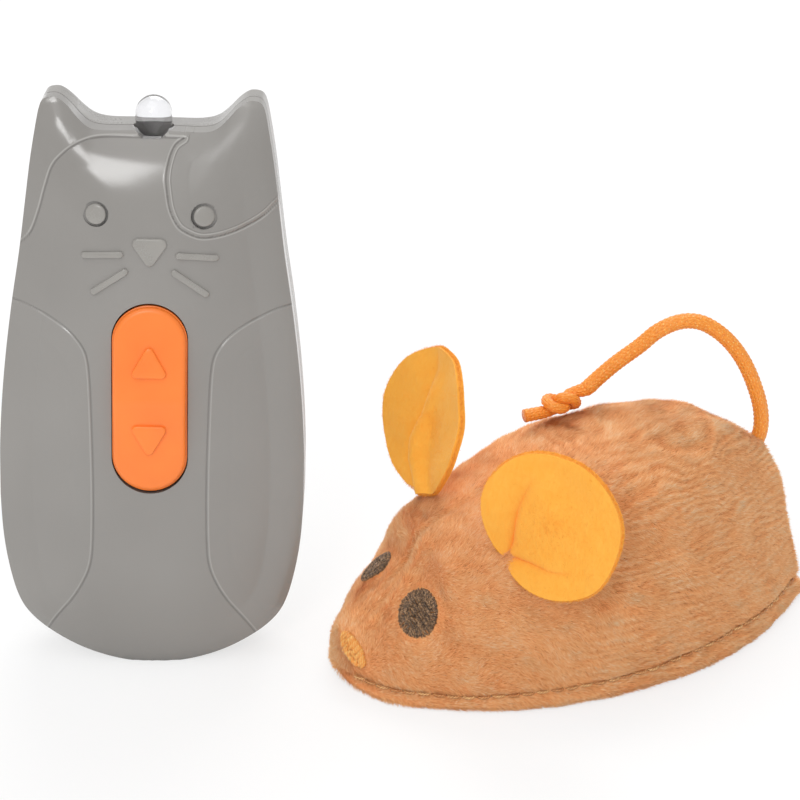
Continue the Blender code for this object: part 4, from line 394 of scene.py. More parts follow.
grid_out = np.cross(np.gradient(outer, axis=1), np.gradient(outer, axis=0))
grid_out /= np.maximum(np.linalg.norm(grid_out, axis=-1, keepdims=True), 1e-12)
grid_out *= np.sign(np.sum(grid_out * (outer - core_of(outer)), -1, keepdims=True) + 1e-12)
root = on_skin(outer)
out = on_skin(grid_out)
out /= np.linalg.norm(out, axis=1, keepdims=True)
back = np.tile((1.0, 0.0, -0.35), (blade_count, 1))
back -= out * np.sum(back * out, 1, keepdims=True)
back /= np.linalg.norm(back, axis=1, keepdims=True)
side = np.cross(out, back)
root_station = (root[:, 0] - mouse_offset[0]) / mouse_length
rows_at = (root[:, 2] / (1.30 * mm) + 0.55 * ripple(root * (0.6, 0.6, 1.0), 11 * mm, 27)
           + 0.30 * ripple(root * (0.5, 0.5, 1.0), 3.6 * mm, 28))
row_share = np.clip((root_station - 0.33) / 0.18, 0, 1)
row_share *= np.clip(0.75 + 0.35 * ripple(root, 9 * mm, 30), 0.2, 1.0)
bands = np.sin(2 * pi * rows_at) * row_share
row_slope = np.cos(2 * pi * rows_at) * row_share
clumps = ripple(root * (0.5, 0.5, 1.0), 2.6 * mm, 29)
swirl = 0.42 * ripple(root, 15 * mm, 21) + 0.26 * ripple(root, 4.2 * mm, 22)
swirl = swirl + 0.22 * dice.normal(size=blade_count)
way = back * np.cos(swirl)[:, None] + side * np.sin(swirl)[:, None]
lift = np.clip(0.44 + 0.06 * clumps + 0.10 * bands + 0.11 * dice.normal(size=blade_count), 0.1, 1.0)
length = (1.0 + 0.4 * dice.random(blade_count)) * mm
hem_gap = root[:, 2] - hem_line(root_station)
length *= 1 - 0.6 * np.exp(-(hem_gap / (0.6 * mm)) ** 2)
bare = np.zeros(blade_count, bool)
for name, (_, _, _, half_height, half_width) in patches.items():
    spot, face_way, up, side_way = patch_frame(name)
    way_in = root - spot
    spread = np.hypot((way_in @ up) / half_height, (way_in @ side_way) / half_width)
    near_by = (np.linalg.norm(way_in, axis=1) < 7 * mm) & (np.abs(way_in @ face_way) < 0.33 * half_width)
    bare |= near_by & (spread < 0.97)
    length[near_by & (spread < 1.3)] *= 0.6
length[bare] = 0.02 * mm
tip = root + (way * np.cos(lift)[:, None] + out * np.sin(lift)[:, None]) * length[:, None]
tip[:, 2] = np.maximum(tip[:, 2], 0.1 * mm)
wide = np.cross(way, out) * (0.085 * mm)
sunk = root - out * 0.05 * mm
blade_spots = np.stack([sunk - wide, sunk + wide, tip], 1).reshape(-1, 3)
# the last term is painted light: the pile over the snout is made paler, as if more light fell on it
blade_tone = (0.53 + 0.06 * clumps + 0.03 * ripple(root, 1.3 * mm, 24) + 0.05 * ripple(root, 8 * mm, 25)
              + 0.15 * bands + 0.16 * dice.normal(size=blade_count)
              + 0.22 * np.clip(1 - root_station / 0.05, 0, 1))


def mesh_of(name, spots, faces):
    """A mesh object from arrays of places and faces."""
    mesh = bpy.data.meshes.new(name)
    flat = np.concatenate([np.asarray(f, np.int32).ravel() for f in faces])
    sizes = np.concatenate([np.full(len(f), f.shape[1], np.int32) for f in faces])
    mesh.vertices.add(len(spots))
    mesh.vertices.foreach_set("co", np.asarray(spots, np.float32).ravel())
    mesh.loops.add(len(flat))
    mesh.loops.foreach_set("vertex_index", flat)
    mesh.polygons.add(len(sizes))
    mesh.polygons.foreach_set("loop_start", np.concatenate([[0], np.cumsum(sizes)[:-1]]).astype(np.int32))
    mesh.update(calc_edges=True)
    mesh.validate()
    mesh.shade_smooth()
    thing = bpy.data.objects.new(name, mesh)
    stage.collection.objects.link(thing)
    return thing


def tell(thing, name, values):
    """Stores a number at each point, for the material to read."""
    store = thing.data.attributes.new(name, "FLOAT", "POINT")
    store.data.foreach_set("value", np.asarray(values, np.float32))


blades = np.arange(blade_count * 3).reshape(-1, 3) + len(base_spots)
plush = mesh_of("plush_skin", np.concatenate([base_spots, blade_spots]),
                [ring_faces(count, across)[:, ::-1], end_fans(count, across), blades])
tone = np.full(len(base_spots) + 3 * blade_count, 0.5)
tone[len(base_spots):] = np.repeat(blade_tone, 3)
height_on_blade = np.zeros(len(tone))
height_on_blade[len(base_spots) + 2::3] = 1.0
tell(plush, "tone", tone)
tell(plush, "tip", height_on_blade)
skin_ways = np.zeros((len(tone), 3))
soft = out * 0.90 + way * (0.14 + 0.05 * clumps)[:, None] + 0.14 * dice.normal(size=out.shape)
soft[:, 2] -= 0.26 * row_slope
soft /= np.linalg.norm(soft, axis=1, keepdims=True)
skin_ways[len(base_spots):] = np.repeat(soft, 3, 0)
plush.data.normals_split_custom_set_from_vertices(skin_ways)

pile = Finish("tan_plush", Roughness=0.85, Sheen_Weight=0.30, Sheen_Roughness=0.45,
              Sheen_Tint=seen(255, 212, 165))
drift = pile.grain(14 * mm, 2)
# painted shade: each pile blade's colour is darker at its root, where the pile shades it, and lighter towards its tip
shade = pile.clamp(pile.told("tone") * 0.85 + pile.told("tip") * 0.22 + drift * 0.20 - 0.15)
pile.feed("Base Color", pile.ramp(shade, (0.0, seen(182, 98, 46)), (0.35, seen(238, 158, 94)),
                                  (0.62, seen(254, 190, 127)), (1.0, seen(255, 224, 182))))
plush.data.materials.append(pile.material)
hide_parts("plush_body")
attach(plush, "mouse")


# Hem stitches. One line of gold-brown lockstitch all round the skirt. It holds the turned edge
# of the plush, and each of its holes is drawn down into the pile.
def smooth_run(points, spacing):
    """Even steps along a smooth curve through the points."""
    points = np.asarray(points, float)
    ghost = np.concatenate([[2 * points[0] - points[1]], points, [2 * points[-1] - points[-2]]])
    fine = []
    for k in range(len(points) - 1):
        a, b, c, d = ghost[k:k + 4]
        for t in np.linspace(0, 1, 24, endpoint=False):
            fine.append(0.5 * (2 * b + (c - a) * t + (2 * a - 5 * b + 4 * c - d) * t ** 2
                               + (3 * b - a - 3 * c + d) * t ** 3))
    fine = np.array(fine + [points[-1]])
    length = np.concatenate([[0], np.cumsum(np.linalg.norm(np.diff(fine, axis=0), axis=1))])
    steps = max(2, int(round(length[-1] / spacing)) + 1)
    at = np.linspace(0, length[-1], steps)
    return np.stack([np.interp(at, length, fine[:, k]) for k in range(3)], 1)


def strand(path, radii, sides, relief=None):
    """A round strand: its places, faces and, for the material, the turn and the length at each point."""
    path = np.asarray(path, float)
    radii = np.broadcast_to(np.asarray(radii, float), len(path))
    along = np.gradient(path, axis=0)
    along /= np.linalg.norm(along, axis=1, keepdims=True)
    first = np.cross(along[0], (0.31, 0.22, 0.92))
    frames = [first / np.linalg.norm(first)]
    for k in range(1, len(path)):
        kept = frames[-1] - along[k] * (frames[-1] @ along[k])
        frames.append(kept / np.linalg.norm(kept))
    frames = np.array(frames)
    others = np.cross(along, frames)
    length = np.concatenate([[0], np.cumsum(np.linalg.norm(np.diff(path, axis=0), axis=1))])
    angle = np.arange(sides) * 2 * pi / sides
    radius = radii[:, None] * np.ones((1, sides))
    if relief is not None:
        radius = radius + relief(angle[None, :], length[:, None])
    spots = (path[:, None] + frames[:, None] * (radius * np.cos(angle))[..., None]
             + others[:, None] * (radius * np.sin(angle))[..., None])
    n = len(path)
    turn_share = np.broadcast_to(angle / (2 * pi), (n, sides)).ravel()
    run = np.broadcast_to(length[:, None], (n, sides)).ravel()
    return spots.reshape(-1, 3), ring_faces(n, sides), end_fans(n, sides), turn_share, run


def bundle(name, strands):
    """Strands joined in one object, each with its own tone."""
    spots, faces, ends, turn_share, run = zip(*strands)
    sizes = np.array([len(part) for part in spots])
    bases = np.cumsum(sizes) - sizes
    sides = np.concatenate([part + base for part, base in zip(faces, bases)])
    caps = np.concatenate([part + base for part, base in zip(ends, bases)])
    thing = mesh_of(name, np.concatenate(spots), [sides, caps])
    tell(thing, "turn", np.concatenate(turn_share))
    tell(thing, "run", np.concatenate(run))
    tell(thing, "tone", np.repeat(np.arange(len(sizes)) * 0.618 % 1, sizes))
    return thing


def thread_finish(name, dark, light, roughness, twist):
    """Twisted thread: fine plies, with painted highlights: the light colour is laid along each ply and on small
    specks as glints over the dark thread colour, and each thread's tone differs at random.
    """
    yarn = Finish(name, Roughness=roughness, Sheen_Weight=0.1, Sheen_Roughness=0.4)
    ply = yarn.add("ShaderNodeMath", {"operation": "SINE"},
                   {0: yarn.told("turn") * (3 * 2 * pi) + yarn.told("run") * (2 * pi / twist)})
    speck = yarn.grain(0.35 * mm, 3, 0.7)
    # painted highlight: ply stripes and specks lift the colour towards the light glint colour
    share = yarn.clamp(ply * 0.42 + yarn.told("tone") * 0.6 + speck * 1.5 - 0.85)
    yarn.feed("Base Color", yarn.blend(share, dark, light))
    yarn.feed("Normal", yarn.relief(ply * 0.5 + speck, 0.7, 0.05 * mm))
    return yarn


# gold-brown thread; its pale colour is a painted glint
gold_brown = thread_finish("hem_thread", seen(178, 106, 50), seen(255, 216, 150), 0.42, 0.5 * mm)
side_runs = []
for turn_low, flip in ((0.0, 1), (pi, -1)):
    ladder = np.linspace(0.0, 1.0, 700)
    heights = hem_line(ladder)
    angles = np.full(len(ladder), turn_low)
    for _ in range(30):
        here = skin_spot(ladder, angles)[:, 2]
        angles = np.clip(angles + flip * (heights - here) / (30 * mm), 0, pi)
    spots, ways = sculpted(ladder, angles)
    side_runs.append((spots, ways))
hem_near, hem_far = side_runs
ring = np.concatenate([hem_near[0][::-1], hem_far[0]])
ring_out = np.concatenate([hem_near[1][::-1], hem_far[1]])
length = np.concatenate([[0], np.cumsum(np.linalg.norm(np.diff(ring, axis=0), axis=1))])
stitch_pitch = 2.66 * mm
stitches = []
for k in range(int(length[-1] / stitch_pitch)):
    at = (k + np.array((0.06, 0.16, 0.32, 0.5, 0.68, 0.84, 0.94))) * stitch_pitch
    spot = np.stack([np.interp(at, length, ring[:, i]) for i in range(3)], 1)
    way = np.stack([np.interp(at, length, ring_out[:, i]) for i in range(3)], 1)
    arch = np.array((-0.35, 0.02, 0.26, 0.34, 0.26, 0.02, -0.35)) * mm
    stitches.append(strand(spot + way * (arch[:, None] + 0.36 * mm), 0.25 * mm, 8))
hem = bundle("hem_stitching", stitches)
hem.data.materials.append(gold_brown.material)
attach(hem, "mouse")


# Eyes and nose. Satin stitch in shiny thread: short stitches round the rim, drawn down at their outer
# ends, and slanting stitches laid over the middle.
def skin_map(name):
    """Gives the places on and over the skin for flat points of a patch."""
    station, turn = patches[name][:2]
    centre, out, up, side = patch_frame(name)
    ladder = np.clip(np.linspace(station - 0.10, station + 0.10, 110), 0.0005, 0.999)
    fan = np.clip(np.linspace(turn - 0.2 * pi, turn + 0.2 * pi, 110), 0.01 * pi, 0.99 * pi)
    spots, ways = sculpted(ladder[:, None], fan[None, :])
    spots, ways = spots.reshape(-1, 3), ways.reshape(-1, 3)
    flat = np.stack([(spots - centre) @ side, (spots - centre) @ up], 1)

    def place(points, height):
        index = np.argmin(((points[:, None] - flat[None]) ** 2).sum(2), 1)
        rest = points - flat[index]
        way = ways[index]
        step = rest[:, :1] * side + rest[:, 1:] * up
        step -= way * np.sum(step * way, 1, keepdims=True)
        return spots[index] + step + way * np.asarray(height)[:, None]

    return place


def embroidered(name, slant, pitch, rim_share, seed):
    """A patch of satin stitch: the short stitches of its rim, then the slanting ones."""
    half_height, half_width = patches[name][3:]
    place = skin_map(name)
    dice = np.random.default_rng(seed)
    lines = []
    t = np.linspace(0, 1, 8)
    if rim_share < 1:
        for k in range(int(2 * pi * half_height / (0.15 * mm))):
            angle = 0.15 * mm * k / half_height
            low, high = rim_share - 0.10 + 0.08 * dice.random(), 0.97 + 0.08 * dice.random()
            turn = angle + 0.10 * dice.normal() * (1 - t) + 0.12
            shares = low + (high - low) * t
            flat = np.stack([half_width * shares * np.sin(turn), half_height * shares * np.cos(turn)], 1)
            height = (0.30 + 0.10 * dice.random()) * mm * np.sin(pi * (0.12 + 0.82 * t)) + 0.02 * mm
            lines.append(strand(place(flat, height), (0.12 + 0.03 * dice.random()) * mm, 6))
    way = np.array((cos(slant), sin(slant)))
    over = np.array((-way[1], way[0]))
    reach = rim_share * sqrt((half_width * over[0]) ** 2 + (half_height * over[1]) ** 2) + 0.1 * mm
    steps = int(2 * reach / pitch)
    for k in range(steps + 1):
        offset = -reach + (k + 0.5) * 2 * reach / (steps + 1)
        a = (way[0] / half_width) ** 2 + (way[1] / half_height) ** 2
        b = 2 * offset * (way[0] * over[0] / half_width ** 2 + way[1] * over[1] / half_height ** 2)
        c = offset ** 2 * ((over[0] / half_width) ** 2 + (over[1] / half_height) ** 2) - (rim_share + 0.04) ** 2
        inner = b * b - 4 * a * c
        if inner <= 0:
            continue
        low, high = (-b - sqrt(inner)) / (2 * a), (-b + sqrt(inner)) / (2 * a)
        cut = [low + dice.normal() * 0.08 * mm]
        cut += [low + (0.7 + dice.random()) * mm] if high - low > 2.4 * mm else []
        while cut[-1] + 2.6 * mm < high:
            cut.append(cut[-1] + (1.3 + 0.6 * dice.random()) * mm)
        cut.append(high + dice.normal() * 0.08 * mm)
        for start, end in zip(cut[:-1], cut[1:]):
            flat = (start + (end - start) * t)[:, None] * way + (offset + dice.normal() * 0.03 * mm) * over
            height = 0.42 * mm + 0.10 * mm * np.sin(pi * t) - 0.24 * mm * np.abs(2 * t - 1) ** 5
            lines.append(strand(place(flat, height), (0.13 + 0.03 * dice.random()) * mm, 6))
    thing = bundle(name + "_stitched", lines)
    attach(thing, "mouse")
    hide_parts(name)
    return thing


# dark brown thread; its light tan colour is a painted glint
eye_thread = thread_finish("eye_thread", seen(46, 27, 14), seen(214, 168, 122), 0.40, 0.6 * mm)
for name, seed in (("eye_near", 31), ("eye_far", 32)):
    eye = embroidered(name, radians(-52), 0.25 * mm, 0.66, seed)
    eye.data.materials.append(eye_thread.material)
# orange thread; its pale gold colour is a painted glint
nose_thread = thread_finish("nose_thread", seen(238, 150, 62), seen(255, 220, 140), 0.34, 0.6 * mm)
nose = embroidered("nose_patch", radians(8), 0.24 * mm, 1.0, 33)
nose.data.materials.append(nose_thread.material)


# Ears. Round pieces of pressed felt, pinched at the foot and caught in the seam, so that they cup
# forwards and crease up from the pinch.
def choose(thing):
    """Makes a thing the only one chosen."""
    clear_choice()
    thing.select_set(True)
    bpy.context.view_layer.objects.active = thing


def away_from(points, line):
    """Distance of points from a run of straight pieces, and the share of the run at the nearest place."""
    best = np.full(len(points), 9.0)
    along = np.zeros(len(points))
    total = len(line) - 1
    for k in range(total):
        start, side = line[k], line[k + 1] - line[k]
        share = np.clip(((points - start) @ side) / (side @ side), 0, 1)
        gap = np.linalg.norm(points - start - share[:, None] * side, axis=1)
        near = gap < best
        best[near], along[near] = gap[near], ((k + share) / total)[near]
    return best, along


ear_radius, felt_thickness, ear_rings, ear_spokes = 13.6 * mm, 1.24 * mm, 64, 150


def ear_mesh(name, station, turn_share, up, face, creases, bend, seed):
    """A felt disc, bent and creased as it stands on the head, with its points' middle places."""
    root = skin_spot(station, pi * turn_share)
    up = np.array(up) / np.linalg.norm(up)
    face = np.array(face)
    base = root - up * 1.0 * mm
    back = -(face - up * (face @ up))
    back /= np.linalg.norm(back)
    side = np.cross(back, up)
    centre_height = 14.0 * mm
    flat = [(0.0, centre_height)]
    phase = np.random.default_rng(seed).random(6) * 2 * pi
    for k in range(1, ear_rings + 1):
        share = (k / ear_rings) ** 0.85
        for j in range(ear_spokes):
            angle = 2 * pi * j / ear_spokes
            rim = ear_radius * (1 + 0.010 * sum(sin((m + 2) * angle + phase[m]) for m in range(6)) / 2)
            flat.append((share * rim * sin(angle), centre_height - share * rim * cos(angle)))
    flat = np.array(flat)
    s, h = flat[:, 0], flat[:, 1]
    depth = bend(s / mm, h / mm) * mm
    squeeze = 1 - 0.16 * np.exp(-(h / (5.0 * mm)) ** 2)
    # how near each point lies to a crease, for the painted shade that darkens the felt's colour there
    crease_shade_share = np.zeros(len(flat))
    for line, deep, width in creases:
        line = smooth_run(np.array([(a, b, 0.0) for a, b in line]) * mm, 0.8 * mm)[:, :2]
        gap, along = away_from(flat, line)
        fade = np.clip(1 - along, 0, 1) ** 0.8 * np.clip(0.45 + 3 * along, 0, 1)
        groove = 0.6 * np.exp(-(gap / (0.55 * width * mm)) ** 1.3)
        groove += 0.4 * np.exp(-(gap / (2.0 * width * mm)) ** 1.6)
        depth += deep * mm * groove * fade
        crease_shade_share = np.maximum(crease_shade_share, np.exp(-(gap / (0.42 * width * mm)) ** 1.3) * fade)
    depth += 0.25 * mm * ripple(np.stack([s, h, 0 * s], 1), 9 * mm, seed)
    spots = base + (s * squeeze)[:, None] * side + h[:, None] * up + depth[:, None] * back
    j = np.arange(ear_spokes)
    middle_fan = np.stack([0 * j, 1 + (j + 1) % ear_spokes, 1 + j], 1)
    thing = mesh_of(name, spots, [ring_faces(ear_rings, ear_spokes) + 1, middle_fan])
    choose(thing)
    tell(thing, "crease", crease_shade_share)
    wall = thing.modifiers.new("felt_thickness", "SOLIDIFY")
    wall.thickness, wall.offset = felt_thickness, 0.0
    bpy.ops.object.modifier_apply(modifier="felt_thickness")
    rim_round = thing.modifiers.new("rim_round", "BEVEL")
    rim_round.width, rim_round.segments = 0.45 * mm, 3
    rim_round.limit_method, rim_round.angle_limit = "ANGLE", radians(60)
    bpy.ops.object.modifier_apply(modifier="rim_round")
    thing.data.shade_smooth()
    return thing, spots, back


def fuzz(name, spots, ways, length, width, seed):
    """Short loose fibres, each a thin blade."""
    dice = np.random.default_rng(seed)
    ways = ways + 0.45 * dice.normal(size=ways.shape)
    ways /= np.linalg.norm(ways, axis=1, keepdims=True)
    side = np.cross(ways, dice.normal(size=ways.shape))
    side /= np.linalg.norm(side, axis=1, keepdims=True)
    reach = (length * (0.4 + 0.6 * dice.random(len(spots))))[:, None]
    points = np.stack([spots - side * width, spots + side * width, spots + ways * reach], 1).reshape(-1, 3)
    return mesh_of(name, points, [np.arange(len(points)).reshape(-1, 3)])


felt = Finish("orange_felt", Roughness=0.92, Sheen_Weight=0.45, Sheen_Roughness=0.5,
              Sheen_Tint=seen(255, 214, 140))
felt_fibre = felt.grain(0.55 * mm, 4, 0.7, stretch=(1.0, 1.0, 0.35))
felt_cloud = felt.grain(3.2 * mm, 3, 0.6)
felt_share = felt.clamp(felt_fibre * 0.7 + felt_cloud * 0.5 - 0.1)
felt_plain = felt.blend(felt_share, seen(250, 163, 44), seen(255, 190, 78))
# painted shade: the felt's colour turns deep red-orange along the creases, where the folds lie in shade
felt.feed("Base Color", felt.blend(felt.clamp(felt.told("crease") * 0.9), felt_plain, seen(250, 112, 30)))
felt.feed("Normal", felt.relief(felt_fibre + felt_cloud * 0.6, 0.9, 0.26 * mm))

# the near ear's creases: a line of places in mm, its depth and its width
near_creases = ((((0.9, 0.9), (-0.6, 3.1), (-2.6, 5.6), (-4.6, 8.1), (-6.2, 10.6), (-7.4, 13.2), (-9.2, 17.0)),
                 2.3, 1.2),
                (((0.9, 0.9), (4.2, 5.4), (7.1, 8.9), (9.5, 13.2)), 1.3, 1.1))


def near_bend(s, h):
    """The near ear cups a little, and its two lower lobes swell on either side of the creases."""
    cup = -1.8 * np.clip(np.abs(s) / 13.6, 0, 1.1) ** 1.8 * (1.5 - np.clip(h / 28, 0, 1))
    left_lobe = 0.9 * np.exp(-((s + 8.5) / 4.5) ** 2 - ((h - 7) / 6) ** 2)
    right_lobe = 0.8 * np.exp(-((s - 9) / 4.0) ** 2 - ((h - 5) / 5) ** 2)
    return cup - left_lobe - right_lobe


def far_bend(s, h):
    """The far ear is a dish on its outer side, then folds over in a long ridge and curls back."""
    ridge = np.interp(h, (0.0, 2.2, 6.9, 10.6, 15.2, 23.3, 27.0), (-1.0, -2.5, -4.8, -4.2, -1.6, 1.3, 2.0))
    off = s - ridge
    fade = np.clip((27 - h) / 14, 0, 1)
    dish = -1.6 * np.clip((-off - 1) / 9, 0, 1.3) ** 1.6
    fold = fade * (-1.7 * np.exp(-((off - 0.8) / 2.1) ** 2) + 1.0 * np.exp(-((off + 1.9) / 1.3) ** 2))
    curl = -3.6 * np.clip(s / 13.0, 0, 1.2) ** 1.25
    return dish + fold + curl


# each ear's place on the skin, the ways that it stands and faces, its creases and its bend
ear_facts = (("ear_near", 0.33, 0.325, (0.496, -0.572, 0.65), (-0.795, -0.60, 0.08), near_creases, near_bend, 41),
             ("ear_far", 0.292, 0.60, (0.25, 0.42, 0.87), (-0.97, -0.24, 0.05), (), far_bend, 42))
rim_fibres, face_fibres = 5200, 9000
for name, station, turn_share, up, face, creases, bend, seed in ear_facts:
    ear, spots, back = ear_mesh(name + "_felt", station, turn_share, up, face, creases, bend, seed)
    ear.data.materials.append(felt.material)
    dice = np.random.default_rng(seed + 5)
    rim = spots[-ear_spokes:]
    outward = rim - spots[0]
    outward /= np.linalg.norm(outward, axis=1, keepdims=True)
    pick = dice.random(rim_fibres) * ear_spokes
    low = pick.astype(int) % ear_spokes
    share = (pick % 1)[:, None]
    rim_spots = rim[low] * (1 - share) + rim[(low + 1) % ear_spokes] * share
    rim_spots = rim_spots + back * (dice.random((rim_fibres, 1)) - 0.5) * 0.9 * mm
    face_pick = dice.integers(ear_spokes, len(spots) - ear_spokes - 1, face_fibres)
    face_side = np.where(dice.random((face_fibres, 1)) < 0.6, -1, 1) * back
    face_spots = spots[face_pick] + face_side * 0.55 * mm + dice.normal(size=(face_fibres, 3)) * 0.15 * mm
    face_ways = face_side * 0.35 + dice.normal(size=(face_fibres, 3)) * 0.6
    hair = fuzz(name + "_fuzz", np.concatenate([rim_spots, face_spots]), np.concatenate([outward[low], face_ways]),
                0.62 * mm, 0.035 * mm, seed + 9)
    hair.data.materials.append(felt.material)
    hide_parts(name)
    for piece in (ear, hair):
        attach(piece, "mouse")


# Tail. A round braided satin cord from the rump's seam, arched over the back to an overhand knot
# and cut square just past it.
tail_diameter = 2.8 * mm
tail_route = np.array(((82.6, 0.0, 27.4), (84.3, 0.0, 29.9), (85.9, 0.2, 33.0), (86.2, 0.6, 36.6), (85.3, 1.1, 41.0),
                       (83.3, 2.0, 46.4), (80.9, 3.0, 50.5), (78.0, 4.0, 53.6), (74.7, 5.0, 55.6), (71.1, 6.0, 55.8),
                       (67.4, 7.0, 54.2), (64.2, 8.0, 51.3), (60.1, 9.0, 48.2), (57.2, 9.5, 45.8), (54.6, 9.8, 43.6)))
tail_route = tail_route * mm + mouse_offset
knot_centre = np.array((49.6, 10.0, 41.6)) * mm + mouse_offset
cut_end = np.array((42.4, 10.4, 40.0)) * mm + mouse_offset
knot_roll = radians(40)
tail_path = smooth_run(tail_route, 0.16 * mm)


def braid(angle, length):
    """Fourteen plaits along the cord, each a row of slanting stitches half a stitch from the next row."""
    plaits, stitch_length = 14, 0.95 * mm
    cell = plaits * angle / (2 * pi)
    plait = np.round(cell)
    rib = np.abs(np.cos(pi * cell)) ** 0.7
    lean = np.where(plait % 2 == 0, 1.0, -1.0)
    stitch = np.sin(2 * pi * length / stitch_length + lean * (cell - plait) * 2.6 + pi * (plait % 2))
    return 0.11 * mm * (rib - 0.6) + 0.05 * mm * stitch


tail = bundle("tail_braid", [strand(tail_path, tail_diameter / 2 - 0.03 * mm, 98, braid)])

# the overhand knot, one half of its turns and the other half the same way round
half_knot = ((-2.4, 0.6, -0.7), (-1.3, 0.3, -0.4), (-0.6, -0.1, 0.4), (-0.1, -0.9, 0.9), (0.9, -1.4, 0.7),
             (1.9, -1.4, 0.0), (2.4, -0.8, -0.8), (2.4, 0.2, -1.3), (1.8, 1.2, -1.3), (0.9, 1.7, -0.8),
             (0.0, 1.7, 0.0))
turns_of_knot = np.array(half_knot + tuple((-x, y, -z) for x, y, z in half_knot[-2::-1])) * mm
along = cut_end - tail_path[-1]
along /= np.linalg.norm(along)
lying = Vector((1.0, 0.0, 0.0)).rotation_difference(Vector(along)).to_matrix()
rolled = Matrix.Rotation(knot_roll, 3, Vector(along)) @ lying
placed = np.array([(rolled @ Vector(p))[:] for p in turns_of_knot]) + knot_centre
knot_path = smooth_run(np.concatenate([tail_path[[-14, -1]], placed, [cut_end]]), 0.14 * mm)
run = np.concatenate([[0], np.cumsum(np.linalg.norm(np.diff(knot_path, axis=0), axis=1))])
knot_radii = np.interp(run, [0, 2.2 * mm, 5.0 * mm, run[-1] - 5.5 * mm, run[-1] - 3.5 * mm, run[-1]],
                       [1.36 * mm, 1.30 * mm, 0.96 * mm, 0.96 * mm, 1.14 * mm, 1.18 * mm])
knot = bundle("tail_knot_tied", [strand(knot_path, knot_radii, 98, braid)])

satin = Finish("braided_satin", Roughness=0.42, Sheen_Weight=0.25, Sheen_Roughness=0.3)
# the cord's surface laid flat, in mm: round it, and along it
cord_place = satin.add("ShaderNodeCombineXYZ", {}, {0: satin.told("turn") * 8.8, 1: satin.told("run") * (1 / mm),
                                                    2: 0.0})


def cord_grain(stretch, detail):
    """Noise on the cord's surface, finer where stretched more."""
    spot = satin.add("ShaderNodeVectorMath", {"operation": "MULTIPLY"}, {0: cord_place, 1: stretch})
    return satin.add("ShaderNodeTexNoise", {}, {"Vector": spot, "Scale": 1.0, "Detail": detail})


filament = cord_grain((7.0, 1.3, 1.0), 3.0)
glint = cord_grain((3.2, 2.4, 1.0), 1.0)
satin_base = satin.blend(satin.clamp(filament, 0.3, 0.7), seen(234, 124, 28), seen(255, 170, 62))
# painted highlight: pale gold glints are laid into the cord's colour where the glint noise is high
satin.feed("Base Color", satin.blend(satin.clamp(glint, 0.60, 0.72) * 0.8, satin_base, seen(255, 216, 128)))
satin.feed("Normal", satin.relief(filament + glint * 0.5, 0.8, 0.10 * mm))
tail.data.materials.append(satin.material)
knot.data.materials.append(satin.material)
for piece, node in ((tail, "tail_cord"), (knot, "tail_knot")):
    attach(piece, "mouse")
    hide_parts(node)
tail_length = float(np.linalg.norm(np.diff(tail_path, axis=0), axis=1).sum())


# Chassis and drive of the mouse, and the inside of the handset. A black moulded tray and lid with
# acetal wheels and gears under the skin, and steel contacts, screws, cells and green boards.
def moulded(name, colour, roughness, grain_size, grain_height):
    """Moulded plastic: a fine spark-eroded grain, with slight flow marks in its gloss."""
    plastic = Finish(name, Roughness=roughness)
    fine = plastic.grain(grain_size, 2, 0.6)
    flow = plastic.grain(9 * mm, 2, 0.5)
    dark = tuple(c * 0.93 for c in colour[:3]) + (1.0,)
    light = tuple(min(1.0, c * 1.05) for c in colour[:3]) + (1.0,)
    plastic.feed("Base Color", plastic.blend(plastic.clamp(flow, 0.3, 0.7), dark, light))
    plastic.feed("Roughness", plastic.clamp(flow + fine * 0.4, 0.4, 1.0, roughness * 0.85, roughness * 1.2))
    plastic.feed("Normal", plastic.relief(fine, 0.6, grain_height))
    return plastic


def plated(name, colour, roughness):
    """Plated steel: fine drawn lines and faint spots."""
    metal = Finish(name, Metallic=1.0, Roughness=roughness)
    lines = metal.grain(0.25 * mm, 2, 0.6, stretch=(1.0, 1.0, 0.1))
    spots = metal.grain(2.5 * mm, 3, 0.6)
    dark = tuple(c * 0.8 for c in colour[:3]) + (1.0,)
    metal.feed("Base Color", metal.blend(metal.clamp(spots, 0.35, 0.7), colour, dark))
    metal.feed("Roughness", metal.clamp(lines, 0.2, 0.8, roughness * 0.7, roughness * 1.5))
    metal.feed("Normal", metal.relief(lines, 0.4, 0.01 * mm))
    return metal


def finish_nodes(finish, *names):
    """Gives CAD nodes a finish."""
    for name in names:
        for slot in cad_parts[name].material_slots:
            slot.material = finish.material


black_plastic = moulded("black_abs", seen(38, 38, 40), 0.5, 0.3 * mm, 0.02 * mm)
acetal = moulded("white_acetal", seen(226, 222, 210), 0.35, 0.4 * mm, 0.01 * mm)
rubber = moulded("black_rubber", seen(30, 30, 30), 0.8, 0.25 * mm, 0.03 * mm)
nickel = plated("bright_steel", seen(205, 203, 198), 0.25)
zinc = plated("zinc_screw", seen(180, 182, 184), 0.35)
jacket = moulded("cell_jacket", seen(60, 66, 74), 0.3, 0.5 * mm, 0.005 * mm)
board_mask = moulded("green_board", seen(30, 92, 54), 0.35, 0.6 * mm, 0.02 * mm)
key_rubber = moulded("grey_rubber", seen(120, 120, 122), 0.7, 0.3 * mm, 0.02 * mm)
finish_nodes(black_plastic, "chassis_tray", "chassis_lid", "mouse_battery_door", "caster_wheel", "ir_receiver",
             "power_switch_body")
finish_nodes(acetal, "caster_fork", "wheel_near", "wheel_far", "axle_gear", "compound_gear", "motor_pinion",
             "power_switch_knob")
finish_nodes(rubber, "tyre_near", "tyre_far")
